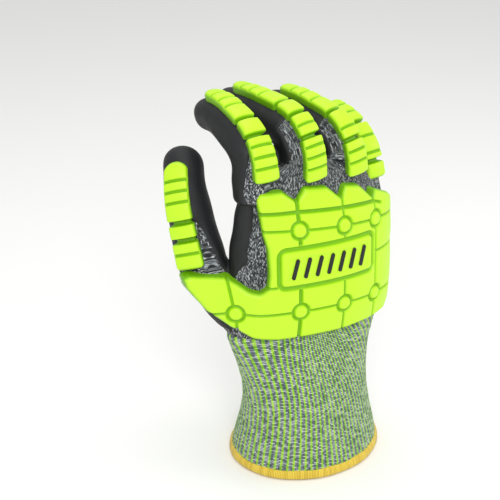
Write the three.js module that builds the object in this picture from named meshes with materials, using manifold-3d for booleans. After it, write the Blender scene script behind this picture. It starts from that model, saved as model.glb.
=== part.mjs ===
// Impact glove for a right hand, standing on its cuff, fingers up and curled.
// Millimetres. +Z runs from the cuff to the fingers, -Y is the back of the hand,
// +Y the palm, -X the thumb side. The origin is the centre of the opening of the cuff.
import * as THREE from "three";
import { mergeVertices } from "three/addons/utils/BufferGeometryUtils.js";
import { TessellateModifier } from "three/addons/modifiers/TessellateModifier.js";
import Module from "manifold-3d";

// ---- driving dimensions ----
const HAND_WIDTH = 90; // across the palm
const HAND_DEPTH = 35.4; // from the back to the palm, above the wrist
const HAND_HEIGHT = 93; // from the cuff to the roots of the fingers
const CUFF_TOP = 78; // where the ribs end and the hand begins
const RIM_WIDTH = 86.4; // opening of the cuff, across
const RIM_DEPTH = 74.8; // opening of the cuff, from back to palm
const FINGER_LENGTH = 68.5; // centre line of the longest finger
const FINGER_RADIUS = 10; // at its root
const THUMB_LENGTH = 51.5;
const THUMB_RADIUS = 12.2;
const KNUCKLE_DROP = 15; // how much lower the hand ends at the little finger
const HEM_HEIGHT = 5.2; // hem round the opening
const HEM_EXTRA = 0.9; // how far the hem stands out from the ribs
const HEM_ROUND = 1.3; // rounding of its edges
const PIECE_GAP = 0.3; // clear space between neighbouring pieces
const KNIT_WALL = 1.4; // liner of the hand and the fingers
const CUFF_WALL = 2.0; // rib knit is thicker
const RIB_COUNT = 24; // modelled ribs round the cuff
const RIB_DEPTH = 0.5; // from crest to valley
const COAT_WALL = 0.8; // dipped coating
const COAT_START = 2.5; // lower edge of the coating above the cuff
const GUARD_HEIGHT = 4.3; // top of a moulded block above the knit
const GUARD_CHAMFER = 1.5;
const LINE_HEIGHT = 4.3; // the line across the back is drawn this far above the knit
const GROOVE_DEPTH = 1.7; // grooves between blocks
const GROOVE_WIDTH = 1.9; // at the top of a groove
const STUD_RADIUS = 3.4;
const STUD_MOAT = 1.8; // width of the groove round a stud
const STUD_RISE = 0.1; // top of a stud above the blocks
const PLATE_CORNER = 3.6;
const PLATE_MOAT = 2.2; // groove round the plate
const PLATE_RISE = 0.6; // top of the plate above the blocks
const STRIP_HEIGHT = 5.0; // top of a finger strip above the knit of the finger
const STRIP_WIDTH = 15; // finger strip at its base
const STRIP_CHAMFER = 1.3;
const NOTCH_WIDTH = 3; // deep notch between the blocks of a strip
const LINE_WIDTH = 2; // shallow groove across a strip
const BODY_SIDES = 24;
const FINGER_SIDES = 10;

// Sections: height, centre, half width, depth to the back and to the palm from the centre,
// n the squareness, tilt how far the back leans with x. Heights are shares of the cuff's,
// or of the hand's above it. Sizes are shares of the width and depth of the rim, or of the hand.
const SECTION_COLUMNS = ["z", "cx", "cy", "half", "back", "palm", "n", "tilt"];
const CUFF_SECTIONS = [
  [0, 0, 0, 0.5, 0.5, 0.5, 2, 0],
  [0.1538, -0.0069, -0.016, 0.4792, 0.4599, 0.4599, 2, 0],
  [0.3205, -0.0185, -0.0348, 0.4468, 0.4144, 0.4144, 2, 0],
  [0.4872, -0.0312, -0.0508, 0.4282, 0.377, 0.3743, 2, 0],
  [0.641, -0.0394, -0.0521, 0.4329, 0.3342, 0.3422, 2, -0.03],
  [0.8205, -0.0498, -0.0481, 0.4606, 0.2781, 0.3075, 2, -0.08],
];
const HAND_SECTIONS = [
  [0, -0.0467, -0.0847, 0.4822, 0.4407, 0.548, 2, -0.14],
  [0.1828, -0.0267, -0.0847, 0.5, 0.4859, 0.5141, 2, -0.13],
  [0.3656, -0.02, -0.0847, 0.5, 0.4802, 0.4915, 2, -0.125],
  [0.5699, -0.0156, -0.0847, 0.4978, 0.4576, 0.4689, 1.98, -0.12],
  [0.7527, -0.0022, -0.0847, 0.4844, 0.3927, 0.435, 1.94, -0.1],
  [0.8817, 0.0089, -0.096, 0.4756, 0.3333, 0.3842, 1.9, -0.08],
  [0.957, 0.0067, -0.1073, 0.46, 0.2712, 0.3051, 1.9, -0.07],
  [1, 0.0033, -0.113, 0.4044, 0.1638, 0.1808, 1.95, -0.06],
];

// Fingers: root of the centre line as shares of the hand's width, depth and height, lean to
// the side, pitch at the root, bend of the two joints and their places as shares of the
// finger, its length as a share of the longest, and its radii as shares of the named one.
const FINGER_COLUMNS = [
  "x", "y", "z", "lean", "pitch", "bend1", "at1", "bend2", "at2", "length", "root", "tip",
];
const FINGERS = {
  index: [-0.3967, -0.0056, 0.9634, 0.6, 2.2, 66.9, 0.2444, 30.2, 0.8242, 0.7226, 0.98, 0.82],
  middle: [-0.0956, -0.1243, 0.9516, -5.6, -8, 91, 0.2365, 8.5, 0.7518, 1, 1, 0.83],
  ring: [0.1878, -0.1921, 0.9344, -8.2, -9.6, 86.9, 0.2067, 13.9, 0.7361, 0.8686, 0.95, 0.79],
  little: [0.4122, 0.0254, 0.7978, -2.9, 8.7, 58.2, 0.3724, 16.6, 0.7885, 0.635, 0.87, 0.72],
};
const BEND_SPAN = [0.4088, 0.3212]; // share of the longest finger over which a joint bends
// Thumb: the same, by its own length and radius, with the bearing of its back in degrees.
const THUMB = {
  x: -0.61, y: 0.5141, z: 0.4409, lean: 17, pitch: 7.9, bend: 28.5, at: 0.73, span: 0.505,
  bearing: -56, tip: 0.7951,
};
// Bulge at the base of the thumb from the wrist up: centre as shares of the hand's width,
// depth and height, radius as a share of the thumb's.
const THENAR = [
  [-0.2778, 0.1412, -0.129, 0.9016],
  [-0.3778, 0.2542, 0.0645, 1.0082],
  [-0.4667, 0.3672, 0.2043, 1.0656],
  [-0.5444, 0.4605, 0.3226, 1.0328],
];
// Strips along the fingers: end as a share of the finger, width at the base and at the tip
// as shares of the named one, then the grooves as [share of the strip, kind]: 1 a line, 2 a
// deep notch.
const STRIPS = {
  index: { end: 0.995, width: 1.12, tipWidth: 0.82, grooves: [[0.1063, 1], [0.188, 1], [0.2712, 1],
    [0.3557, 2], [0.5137, 2], [0.6718, 1], [0.7617, 1], [0.8612, 1]] },
  middle: { end: 0.946, width: 1, tipWidth: 0.75, grooves: [[0.0887, 1], [0.1564, 1], [0.2207, 1],
    [0.2828, 2], [0.3593, 1], [0.4458, 2], [0.5833, 2], [0.7353, 1], [0.8184, 1], [0.8994, 1]] },
  ring: { end: 0.9328, width: 0.95, tipWidth: 0.7, grooves: [[0.1052, 1], [0.1816, 1], [0.2642, 2],
    [0.3506, 1], [0.5084, 2], [0.6787, 1], [0.7788, 1], [0.8702, 1]] },
  little: { end: 0.9195, width: 0.95, tipWidth: 0.6667, grooves: [[0.1753, 2], [0.2603, 1], [0.4304, 1],
    [0.5969, 2], [0.7385, 1], [0.8678, 1]] },
  thumb: { end: 0.967, width: 1.14, tipWidth: 0.98, grooves: [[0.1426, 1], [0.2626, 2], [0.4227, 2],
    [0.6088, 1], [0.7079, 1], [0.8071, 1]] },
};

// Line across the back of the hand that the guard lies along, as shares of the hand's width
// and depth, and how far the guard moves off that line with height.
const BACK_LINE = [
  [-0.8444, 0.3277], [-0.7, 0.1921], [-0.5667, 0.0226], [-0.4478, -0.2797], [-0.22, -0.5],
  [0.07, -0.6299], [0.3078, -0.5932], [0.4611, -0.4294], [0.5389, -0.1836], [0.5556, 0.0565],
];
const LINE_MIDDLE = 0.07; // share of the width at which flat distances start
const BACK_SHIFT = [[-0.086, -0.0452], [0.0215, -0.0537], [0.1828, -0.1017], [0.3333, -0.0904],
  [0.5699, -0.065], [0.6559, -0.0537], [0.7527, 0.0085], [0.9032, 0.0791]];
// The guard laid flat: distance along the line as a share of the hand's width, and height
// as a share of the hand's. First its outline, then grooves from end to end, then studs.
const GUARD_OUTLINE = [
  [-0.5367, 0.8763], [-0.5133, 0.9075], [-0.3778, 0.9011], [-0.2956, 0.8344], [-0.24, 0.9022],
  [-0.0956, 0.886], [-0.0111, 0.8129], [0.0222, 0.8753], [0.1289, 0.8559], [0.2333, 0.7591],
  [0.26, 0.8022], [0.3889, 0.7527], [0.5056, 0.7097], [0.5389, 0.6559], [0.5444, 0.4301],
  [0.5278, 0.2151], [0.4667, 0.0968], [0.3667, 0.0172], [0, 0.0086], [-0.4222, 0.0172],
  [-0.5778, 0.0387], [-0.7111, 0.1022], [-0.8556, 0.2204], [-0.9611, 0.3656], [-0.9778, 0.4247],
  [-0.9333, 0.4387], [-0.7333, 0.4129], [-0.6667, 0.372], [-0.6056, 0.3355], [-0.54, 0.3247],
  [-0.4956, 0.3505], [-0.4844, 0.4301], [-0.4933, 0.5806], [-0.5178, 0.6602], [-0.5244, 0.7742],
];
const GUARD_GROOVES = [
  [[-0.5778, 0.7914], [0.2333, 0.7376]], [[0.2333, 0.7376], [0.3, 0.7118]],
  [[-0.5556, 0.6882], [0.5778, 0.6172]], [[-1.0222, 0.2], [0.5556, 0.1785]],
  [[-0.2944, 0.8602], [-0.2944, 0.5484]], [[-0.0067, 0.8387], [-0.0067, 0.5484]],
  [[0.2356, 0.7849], [0.2356, 0]], [[-0.2944, 0.3548], [-0.2944, -0.0215]],
  [[-0.0067, 0.3548], [-0.0067, -0.0215]], [[-0.7333, 0.4301], [-0.65, -0.0215]],
  [[-0.5333, 0.3527], [-0.4222, 0.3527]], [[0.2356, 0.4409], [0.5778, 0.4409]],
];
const GUARD_STUDS = [[-0.2944, 0.671], [-0.0067, 0.6538], [0.2356, 0.6376], [-0.6844, 0.1935],
  [-0.2944, 0.1892], [-0.0067, 0.1849], [0.2356, 0.1828]];
const PLATE = { left: -0.4267, right: 0.2067, bottom: 0.3398, top: 0.572 };

// ---- colours ----
const LINER = new THREE.MeshStandardMaterial({ name: "melange knit", color: 0x77797c, roughness: 0.9 });
const COATING = new THREE.MeshStandardMaterial({ name: "sandy coating", color: 0x1a1b1d, roughness: 0.85 });
const MOULDED = new THREE.MeshStandardMaterial({ name: "moulded guard", color: 0xc8f51f, roughness: 0.5 });
const RIBBING = new THREE.MeshStandardMaterial({ name: "rib knit", color: 0x9fbf83, roughness: 0.9 });
const OVERLOCK = new THREE.MeshStandardMaterial({ name: "overlock thread", color: 0xe8cf45, roughness: 0.8 });

const wasm = await Module();
wasm.setup();
const { Manifold, Mesh } = wasm;

// ---- small helpers ----
const vec = (x, y, z) => new THREE.Vector3(x, y, z);
const rad = THREE.MathUtils.degToRad;
const lerp = THREE.MathUtils.lerp;
const ease = (t) => THREE.MathUtils.smoothstep(t, 0, 1);

function named(columns, row) {
  return Object.fromEntries(columns.map((name, i) => [name, row[i]]));
}

// Value of a table of rows at x in its first column, straight between the rows.
function look(rows, x) {
  if (x <= rows[0][0]) return rows[0];
  for (let i = 1; i < rows.length; i++) {
    if (x > rows[i][0]) continue;
    const t = (x - rows[i - 1][0]) / (rows[i][0] - rows[i - 1][0]);
    return rows[i].map((v, k) => lerp(rows[i - 1][k], v, t));
  }
  return rows[rows.length - 1];
}

function toSolid(geometry) {
  const bare = geometry.clone();
  bare.deleteAttribute("normal");
  bare.deleteAttribute("uv");
  const merged = mergeVertices(bare, 1e-5);
  return new Manifold(new Mesh({
    numProp: 3,
    vertProperties: Float32Array.from(merged.attributes.position.array),
    triVerts: Uint32Array.from(merged.index.array),
  }));
}

function toGeometry(manifold) {
  const mesh = manifold.getMesh();
  const points = new Float32Array((mesh.vertProperties.length / mesh.numProp) * 3);
  for (let i = 0; i < points.length / 3; i++) {
    for (let k = 0; k < 3; k++) points[3 * i + k] = mesh.vertProperties[i * mesh.numProp + k];
  }
  const geometry = new THREE.BufferGeometry();
  geometry.setAttribute("position", new THREE.BufferAttribute(points, 3));
  geometry.setIndex(new THREE.BufferAttribute(Uint32Array.from(mesh.triVerts), 1));
  return geometry;
}

// Closed skin over rings of equal count, each end closed by a fan to its own middle or pole.
function loft(rings, firstPole, lastPole) {
  const count = rings[0].length;
  const points = rings.flat();
  const faces = [];
  for (let r = 0; r + 1 < rings.length; r++) {
    for (let i = 0; i < count; i++) {
      const a = r * count + i;
      const b = r * count + ((i + 1) % count);
      faces.push(a, b, b + count, a, b + count, a + count);
    }
  }
  const middle = (ring) => ring.reduce((sum, p) => sum.add(p), vec(0, 0, 0)).divideScalar(count);
  points.push(firstPole ?? middle(rings[0]), lastPole ?? middle(rings[rings.length - 1]));
  const last = (rings.length - 1) * count;
  for (let i = 0; i < count; i++) {
    faces.push(points.length - 2, (i + 1) % count, i);
    faces.push(points.length - 1, last + i, last + ((i + 1) % count));
  }
  const geometry = new THREE.BufferGeometry();
  geometry.setAttribute("position", new THREE.Float32BufferAttribute(points.flatMap((p) => p.toArray()), 3));
  geometry.setIndex(faces);
  return geometry;
}

function outward(geometry) {
  let solid = toSolid(geometry);
  if (solid.volume() < 0) {
    const index = geometry.index;
    for (let i = 0; i < index.count; i += 3) {
      const keep = index.getX(i);
      index.setX(i, index.getX(i + 1));
      index.setX(i + 1, keep);
    }
    solid = toSolid(geometry);
  }
  return solid;
}

// ---- places on the hand ----
const across = (share) => HAND_WIDTH * share; // x
const depth = (share) => HAND_DEPTH * share; // y
const height = (share) => CUFF_TOP + HAND_HEIGHT * share; // z
const laid = ([u, z]) => [across(u), height(z)]; // a point of the guard laid flat

function scaled(rows, place, width, thick) {
  return rows.map(([z, cx, cy, half, back, palm, n, tilt]) => [
    place(z), cx * width, cy * thick, half * width, back * thick, palm * thick, n, tilt]);
}
const SECTIONS = scaled(CUFF_SECTIONS, (share) => CUFF_TOP * share, RIM_WIDTH, RIM_DEPTH)
  .concat(scaled(HAND_SECTIONS, height, HAND_WIDTH, HAND_DEPTH));

// ---- hand and cuff ----
function sectionPoint(row, angle, grow) {
  const s = named(SECTION_COLUMNS, row);
  const c = Math.cos(angle);
  const d = Math.sin(angle);
  const thick = (d < 0 ? s.back : s.palm) + grow;
  const r = (Math.abs(c / (s.half + grow)) ** s.n + Math.abs(d / thick) ** s.n) ** (-1 / s.n);
  const x = s.cx + r * c;
  const drop = KNUCKLE_DROP * ease((x - across(0.1111)) / across(0.3333))
    * ease((s.z - height(0.3656)) / (HAND_HEIGHT * 0.5376));
  return vec(x, s.cy + r * d + s.tilt * r * c, s.z - drop);
}

function sectionRing(z, grow, sides, wave) {
  const row = look(SECTIONS, z);
  const ring = [];
  for (let i = 0; i < sides; i++) {
    const ripple = wave ? wave(i) : 0;
    ring.push(sectionPoint(row, (2 * Math.PI * i) / sides, grow + ripple));
  }
  return ring;
}

function handLoft(grow, bottom, sides, levels) {
  const rings = levels.map((z) => sectionRing(z, grow, sides));
  rings.unshift(sectionRing(bottom, grow, sides));
  rings[0].forEach((p) => { p.z = bottom; });
  const top = SECTIONS[SECTIONS.length - 1];
  rings.push(sectionRing(top[0], grow, sides).map((p) => vec(p.x, p.y, p.z + grow)));
  const peak = vec(0, top[2], top[0] + HAND_HEIGHT * 0.0129 + grow);
  return outward(loft(rings, undefined, peak));
}

function tubeFrame(start, lean, pitchAt, step, count, back) {
  const frames = [];
  const side = back.clone().cross(vec(0, 0, 1)).normalize();
  const at = start.clone();
  for (let i = 0; i <= count; i++) {
    const pitch = rad(pitchAt(i * step));
    const b = rad(lean);
    const along = back.clone().multiplyScalar(-Math.sin(pitch) * Math.cos(b))
      .addScaledVector(vec(0, 0, 1), Math.cos(pitch) * Math.cos(b))
      .addScaledVector(side, Math.sin(b));
    const up = back.clone().multiplyScalar(Math.cos(pitch)).addScaledVector(vec(0, 0, 1), Math.sin(pitch));
    if (i > 0) at.addScaledVector(along, step);
    frames.push({ s: i * step, at: at.clone(), along, up, across: up.clone().cross(along) });
  }
  return frames;
}

// A finger's row with its lengths worked out.
function fingerSize(name) {
  const thumb = name === "thumb";
  const f = thumb ? { ...THUMB, length: 1, root: 1 } : named(FINGER_COLUMNS, FINGERS[name]);
  const length = (thumb ? THUMB_LENGTH : FINGER_LENGTH) * f.length;
  const radius = thumb ? THUMB_RADIUS : FINGER_RADIUS;
  return { ...f, start: vec(across(f.x), depth(f.y), height(f.z)), length,
    root: f.root * radius, tip: f.tip * radius };
}

const STEPS = 240; // points along a centre line
function fingerFrames(name) {
  const f = fingerSize(name);
  const step = f.length / STEPS;
  if (name === "thumb") {
    const bearing = rad(f.bearing);
    const back = vec(Math.sin(bearing), -Math.cos(bearing), 0);
    const pitch = (s) => f.pitch + f.bend * ease((s / f.length - f.at) / f.span + 0.5);
    return tubeFrame(f.start, f.lean, pitch, step, STEPS, back);
  }
  const [span1, span2] = BEND_SPAN.map((share) => share * FINGER_LENGTH);
  const pitch = (s) => f.pitch + f.bend1 * ease((s - f.at1 * f.length) / span1 + 0.5)
    + f.bend2 * ease((s - f.at2 * f.length) / span2 + 0.5);
  return tubeFrame(f.start, -f.lean, pitch, step, STEPS, vec(0, -1, 0));
}

// Rings of a finger from its root to its rounded end, grown all round, and the pole of the end.
function fingerRings(name, grow, sides, levels) {
  const frames = fingerFrames(name);
  const f = fingerSize(name);
  const ringAt = (frame, radius, push) => {
    const ring = [];
    for (let i = 0; i < sides; i++) {
      const a = (2 * Math.PI * (i + 0.5)) / sides;
      ring.push(frame.at.clone().addScaledVector(frame.along, push)
        .addScaledVector(frame.up, radius * Math.cos(a))
        .addScaledVector(frame.across, radius * Math.sin(a)));
    }
    return ring;
  };
  const rings = levels.map((share) => {
    const frame = frames[Math.round(share * (frames.length - 1))];
    return ringAt(frame, lerp(f.root, f.tip, share) + grow, 0);
  });
  const end = frames[frames.length - 1];
  const tip = f.tip + grow;
  for (const turn of [32, 60]) {
    rings.push(ringAt(end, tip * Math.cos(rad(turn)), tip * Math.sin(rad(turn))));
  }
  const first = ringAt(frames[0], f.root + grow, 0);
  return { rings, first, frame: frames[0], pole: end.at.clone().addScaledVector(end.along, tip) };
}

// A finger as a closed tube. Lead carries it straight back from the root, and grows with it.
function fingerTube(name, grow, lead, sides, levels) {
  const made = fingerRings(name, grow, sides, levels);
  const rings = made.rings;
  if (lead > 0) rings.unshift(made.first.map((p) => p.addScaledVector(made.frame.along, -lead - grow)));
  return outward(loft(rings, undefined, made.pole));
}

// The base of the thumb. Extra carries its flat end on. With onward it runs to the tip.
function thenarTube(grow, extra, onward) {
  const rows = THENAR.concat([[THUMB.x, THUMB.y, THUMB.z, 1]]);
  const curve = new THREE.CatmullRomCurve3(rows.map((r) => vec(across(r[0]), depth(r[1]), height(r[2]))));
  const first = fingerFrames("thumb")[0];
  const rings = [];
  const steps = 4;
  for (let k = 0; k <= steps; k++) {
    const t = k / steps;
    const at = curve.getPoint(t);
    const along = k === steps ? first.along.clone() : curve.getTangent(t).lerp(first.along, t * t).normalize();
    const across = first.up.clone().cross(along).normalize();
    const up = along.clone().cross(across);
    const spot = t * (rows.length - 1);
    const i = Math.min(Math.floor(spot), rows.length - 2);
    const radius = THUMB_RADIUS * lerp(rows[i][3], rows[i + 1][3], spot - i) + grow;
    const ring = [];
    for (let j = 0; j < FINGER_SIDES; j++) {
      const a = (2 * Math.PI * (j + 0.5)) / FINGER_SIDES;
      ring.push(at.clone().addScaledVector(up, radius * Math.cos(a)).addScaledVector(across, radius * Math.sin(a)));
    }
    if (k === steps) ring.forEach((p) => p.addScaledVector(first.along, extra));
    rings.push(ring);
  }
  if (!onward) return outward(loft(rings));
  const thumb = fingerRings("thumb", grow, FINGER_SIDES, TUBE_LEVELS);
  rings.pop();
  return outward(loft(rings.concat(thumb.rings), undefined, thumb.pole));
}

const HAND_LEVELS = [0, 0.1828, 0.4301, 0.6237, 0.7742, 0.8817, 0.9624].map(height);
const BORE_LEVELS = [0.172, 0.4086, 0.6452, 0.8172, 0.9247].map(height);
const TUBE_LEVELS = [0, 0.13, 0.24, 0.35, 0.5, 0.67, 0.82, 1];
const BORE_TUBE_LEVELS = [0.13, 0.24, 0.35, 0.5, 0.74, 1];
const NAMES = ["index", "middle", "ring", "little", "thumb"];

const TUCK = -0.1935; // the lofts start below the cuff's top and are cut level
const LEAD = 0.6; // of a finger's radius, its tube runs back into the hand

function above(z) {
  const wide = 4 * (HAND_WIDTH + HAND_HEIGHT);
  return toSolid(new THREE.BoxGeometry(wide, wide, wide).translate(0, 0, z + wide / 2));
}

function hand(grow, bottom, onward) {
  return handLoft(grow, height(TUCK), BODY_SIDES, HAND_LEVELS).add(thenarTube(grow, grow, onward))
    .intersect(above(bottom));
}

const bottom = CUFF_TOP + PIECE_GAP;
const handOuter = hand(0, bottom);
const handGrown = hand(PIECE_GAP, bottom);
const cavity = handLoft(-KNIT_WALL, height(TUCK), 16, BORE_LEVELS).add(thenarTube(-KNIT_WALL, -KNIT_WALL));
const bores = {};
const tubes = {};
for (const name of NAMES) {
  const lead = KNIT_WALL + (name === "thumb" ? 0.25 * THUMB_RADIUS : 0.9 * LEAD * FINGER_RADIUS);
  bores[name] = fingerTube(name, -KNIT_WALL, lead, 8, BORE_TUBE_LEVELS);
  tubes[name] = fingerTube(name, 0, name === "thumb" ? 0 : LEAD * FINGER_RADIUS, FINGER_SIDES, TUBE_LEVELS);
}
let body = handOuter.subtract(cavity);
for (const name of NAMES) body = body.subtract(bores[name]);
const stalls = {};
NAMES.forEach((name, i) => {
  stalls[name] = tubes[name].subtract(handGrown).subtract(bores[name]);
  if (i > 0 && name !== "thumb") {
    const next = fingerTube(NAMES[i - 1], PIECE_GAP, LEAD * FINGER_RADIUS, FINGER_SIDES, TUBE_LEVELS);
    stalls[name] = stalls[name].subtract(next);
  }
});

// ---- cuff and hem ----
function tubeWall(levels, outerGrow, innerGrow, sides, wave) {
  const rings = levels.map((z) => sectionRing(z, outerGrow, sides, wave));
  for (const z of [...levels].reverse()) rings.push(sectionRing(z, innerGrow, sides));
  const count = sides;
  const points = rings.flat();
  const faces = [];
  for (let r = 0; r < rings.length; r++) {
    const next = (r + 1) % rings.length;
    for (let i = 0; i < count; i++) {
      const j = (i + 1) % count;
      faces.push(r * count + i, r * count + j, next * count + j, r * count + i, next * count + j, next * count + i);
    }
  }
  const geometry = new THREE.BufferGeometry();
  geometry.setAttribute("position", new THREE.Float32BufferAttribute(points.flatMap((p) => p.toArray()), 3));
  geometry.setIndex(faces);
  return outward(geometry);
}

const ribWave = (i) => (i % 2 === 0 ? 0 : -RIB_DEPTH);
const CUFF_LEVELS = [0.3205, 0.5769, 0.7949, 1].map((share) => CUFF_TOP * share);
const cuff = tubeWall([HEM_HEIGHT + PIECE_GAP, ...CUFF_LEVELS], 0, -CUFF_WALL, 2 * RIB_COUNT, ribWave);

// The hem is a soft rounded band, closed on itself.
function hemBand() {
  const inner = -CUFF_WALL - 0.15 * HEM_ROUND;
  const profile = [[inner, 0.9 * HEM_ROUND], [HEM_EXTRA - 1.15 * HEM_ROUND, 0], [HEM_EXTRA, HEM_ROUND],
    [HEM_EXTRA, HEM_HEIGHT - HEM_ROUND], [HEM_EXTRA - 1.15 * HEM_ROUND, HEM_HEIGHT],
    [inner, HEM_HEIGHT - 0.8 * HEM_ROUND]];
  const sides = 32;
  const rings = profile.map(([grow, z]) => sectionRing(z, grow, sides));
  const points = rings.flat();
  const faces = [];
  for (let r = 0; r < rings.length; r++) {
    const next = (r + 1) % rings.length;
    for (let i = 0; i < sides; i++) {
      const j = (i + 1) % sides;
      faces.push(r * sides + i, r * sides + j, next * sides + j, r * sides + i, next * sides + j, next * sides + i);
    }
  }
  const geometry = new THREE.BufferGeometry();
  geometry.setAttribute("position", new THREE.Float32BufferAttribute(points.flatMap((p) => p.toArray()), 3));
  geometry.setIndex(faces);
  return outward(geometry);
}
const hem = hemBand();

// ---- dipped coating ----
// Everything on the palm side of this level is coated: y of the level by x and z.
function dipLevel(x, z) {
  const left = -x / HAND_WIDTH;
  const up = (z - CUFF_TOP) / HAND_HEIGHT;
  const thumbSide = 0.3672 * ease((left - 0.5556) / 0.2) * ease((0.5161 - up) / 0.1505);
  const knuckle = -0.1271 * ease((up - 0.5376) / 0.3226) * ease((left - 0.2222) / 0.2);
  return depth(0.0141 + thumbSide + knuckle);
}

function dipRegion(extra) {
  const reach = FINGER_LENGTH + THUMB_LENGTH;
  const xs = [-0.8889, -0.8, -0.7333, -0.6667, -0.6, -0.5333, -0.4667, -0.3778, -0.2667, -0.1111,
    0.1111, 0.3333, 0.4889, 0.6667].map(across);
  xs.unshift(xs[0] - reach);
  const zs = [0.129, 0.2151, 0.3011, 0.3656, 0.4301, 0.4946, 0.5591, 0.6452, 0.7312, 0.8387, 0.9892]
    .map(height);
  zs.unshift(bottom + COAT_START - extra);
  zs.push(height(1) + reach);
  const points = [];
  for (const z of zs) for (const x of xs) points.push(vec(x, dipLevel(x, z) - extra, z));
  for (const z of zs) for (const x of xs) points.push(vec(x, HAND_DEPTH + reach, z));
  const columns = xs.length;
  const faces = [];
  const half = columns * zs.length;
  const quad = (a, b, c, d) => faces.push(a, b, c, a, c, d);
  for (let r = 0; r + 1 < zs.length; r++) {
    for (let i = 0; i + 1 < columns; i++) {
      const a = r * columns + i;
      quad(a, a + 1, a + 1 + columns, a + columns);
      quad(half + a, half + a + columns, half + a + 1 + columns, half + a + 1);
    }
    const left = r * columns;
    const right = left + columns - 1;
    quad(left, left + columns, half + left + columns, half + left);
    quad(right, half + right, half + right + columns, right + columns);
  }
  for (let i = 0; i + 1 < columns; i++) {
    const low = i;
    const high = (zs.length - 1) * columns + i;
    quad(low, half + low, half + low + 1, low + 1);
    quad(high, high + 1, half + high + 1, half + high);
  }
  const geometry = new THREE.BufferGeometry();
  geometry.setAttribute("position", new THREE.Float32BufferAttribute(points.flatMap((p) => p.toArray()), 3));
  geometry.setIndex(faces);
  return outward(geometry);
}

function gloveSolid(grow) {
  let solid = hand(grow, height(TUCK) + PIECE_GAP, true);
  for (const name of NAMES) {
    if (name === "thumb") continue;
    solid = solid.add(fingerTube(name, grow, LEAD * FINGER_RADIUS, FINGER_SIDES, TUBE_LEVELS));
  }
  return solid;
}
const underCoat = gloveSolid(PIECE_GAP);
const overCoat = gloveSolid(PIECE_GAP + COAT_WALL);
const coating = overCoat.subtract(underCoat).intersect(dipRegion(0));
const seat = underCoat.add(gloveSolid(2 * PIECE_GAP + COAT_WALL).intersect(dipRegion(1.5 * PIECE_GAP)));

// ---- moulded guard on the back of the hand ----
const backCurve = new THREE.CatmullRomCurve3(
  BACK_LINE.map(([x, y]) => vec(across(x), depth(y), 0)), false, "centripetal");
backCurve.arcLengthDivisions = 600;
const backLength = backCurve.getLength();
function lineOffset() {
  let best = 0;
  let miss = Infinity;
  for (let i = 0; i <= 600; i++) {
    const d = Math.abs(backCurve.getPointAt(i / 600).x - across(LINE_MIDDLE));
    if (d < miss) {
      miss = d;
      best = (i / 600) * backLength;
    }
  }
  return best;
}
const backZero = lineOffset();

// A point laid flat (distance along the line, height on the hand, height off the base).
function wrapBack(u, z, h) {
  const t = THREE.MathUtils.clamp((u + backZero) / backLength, 0, 1);
  const at = backCurve.getPointAt(t);
  const tangent = backCurve.getTangentAt(t);
  const normal = vec(tangent.y, -tangent.x, 0);
  const shift = depth(look(BACK_SHIFT, (z - CUFF_TOP) / HAND_HEIGHT)[1]);
  return at.add(vec(0, shift, z)).addScaledVector(normal, h - LINE_HEIGHT);
}

function shapeOf(points) {
  return new THREE.Shape(points.map(([x, y]) => new THREE.Vector2(x, y)));
}

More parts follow.
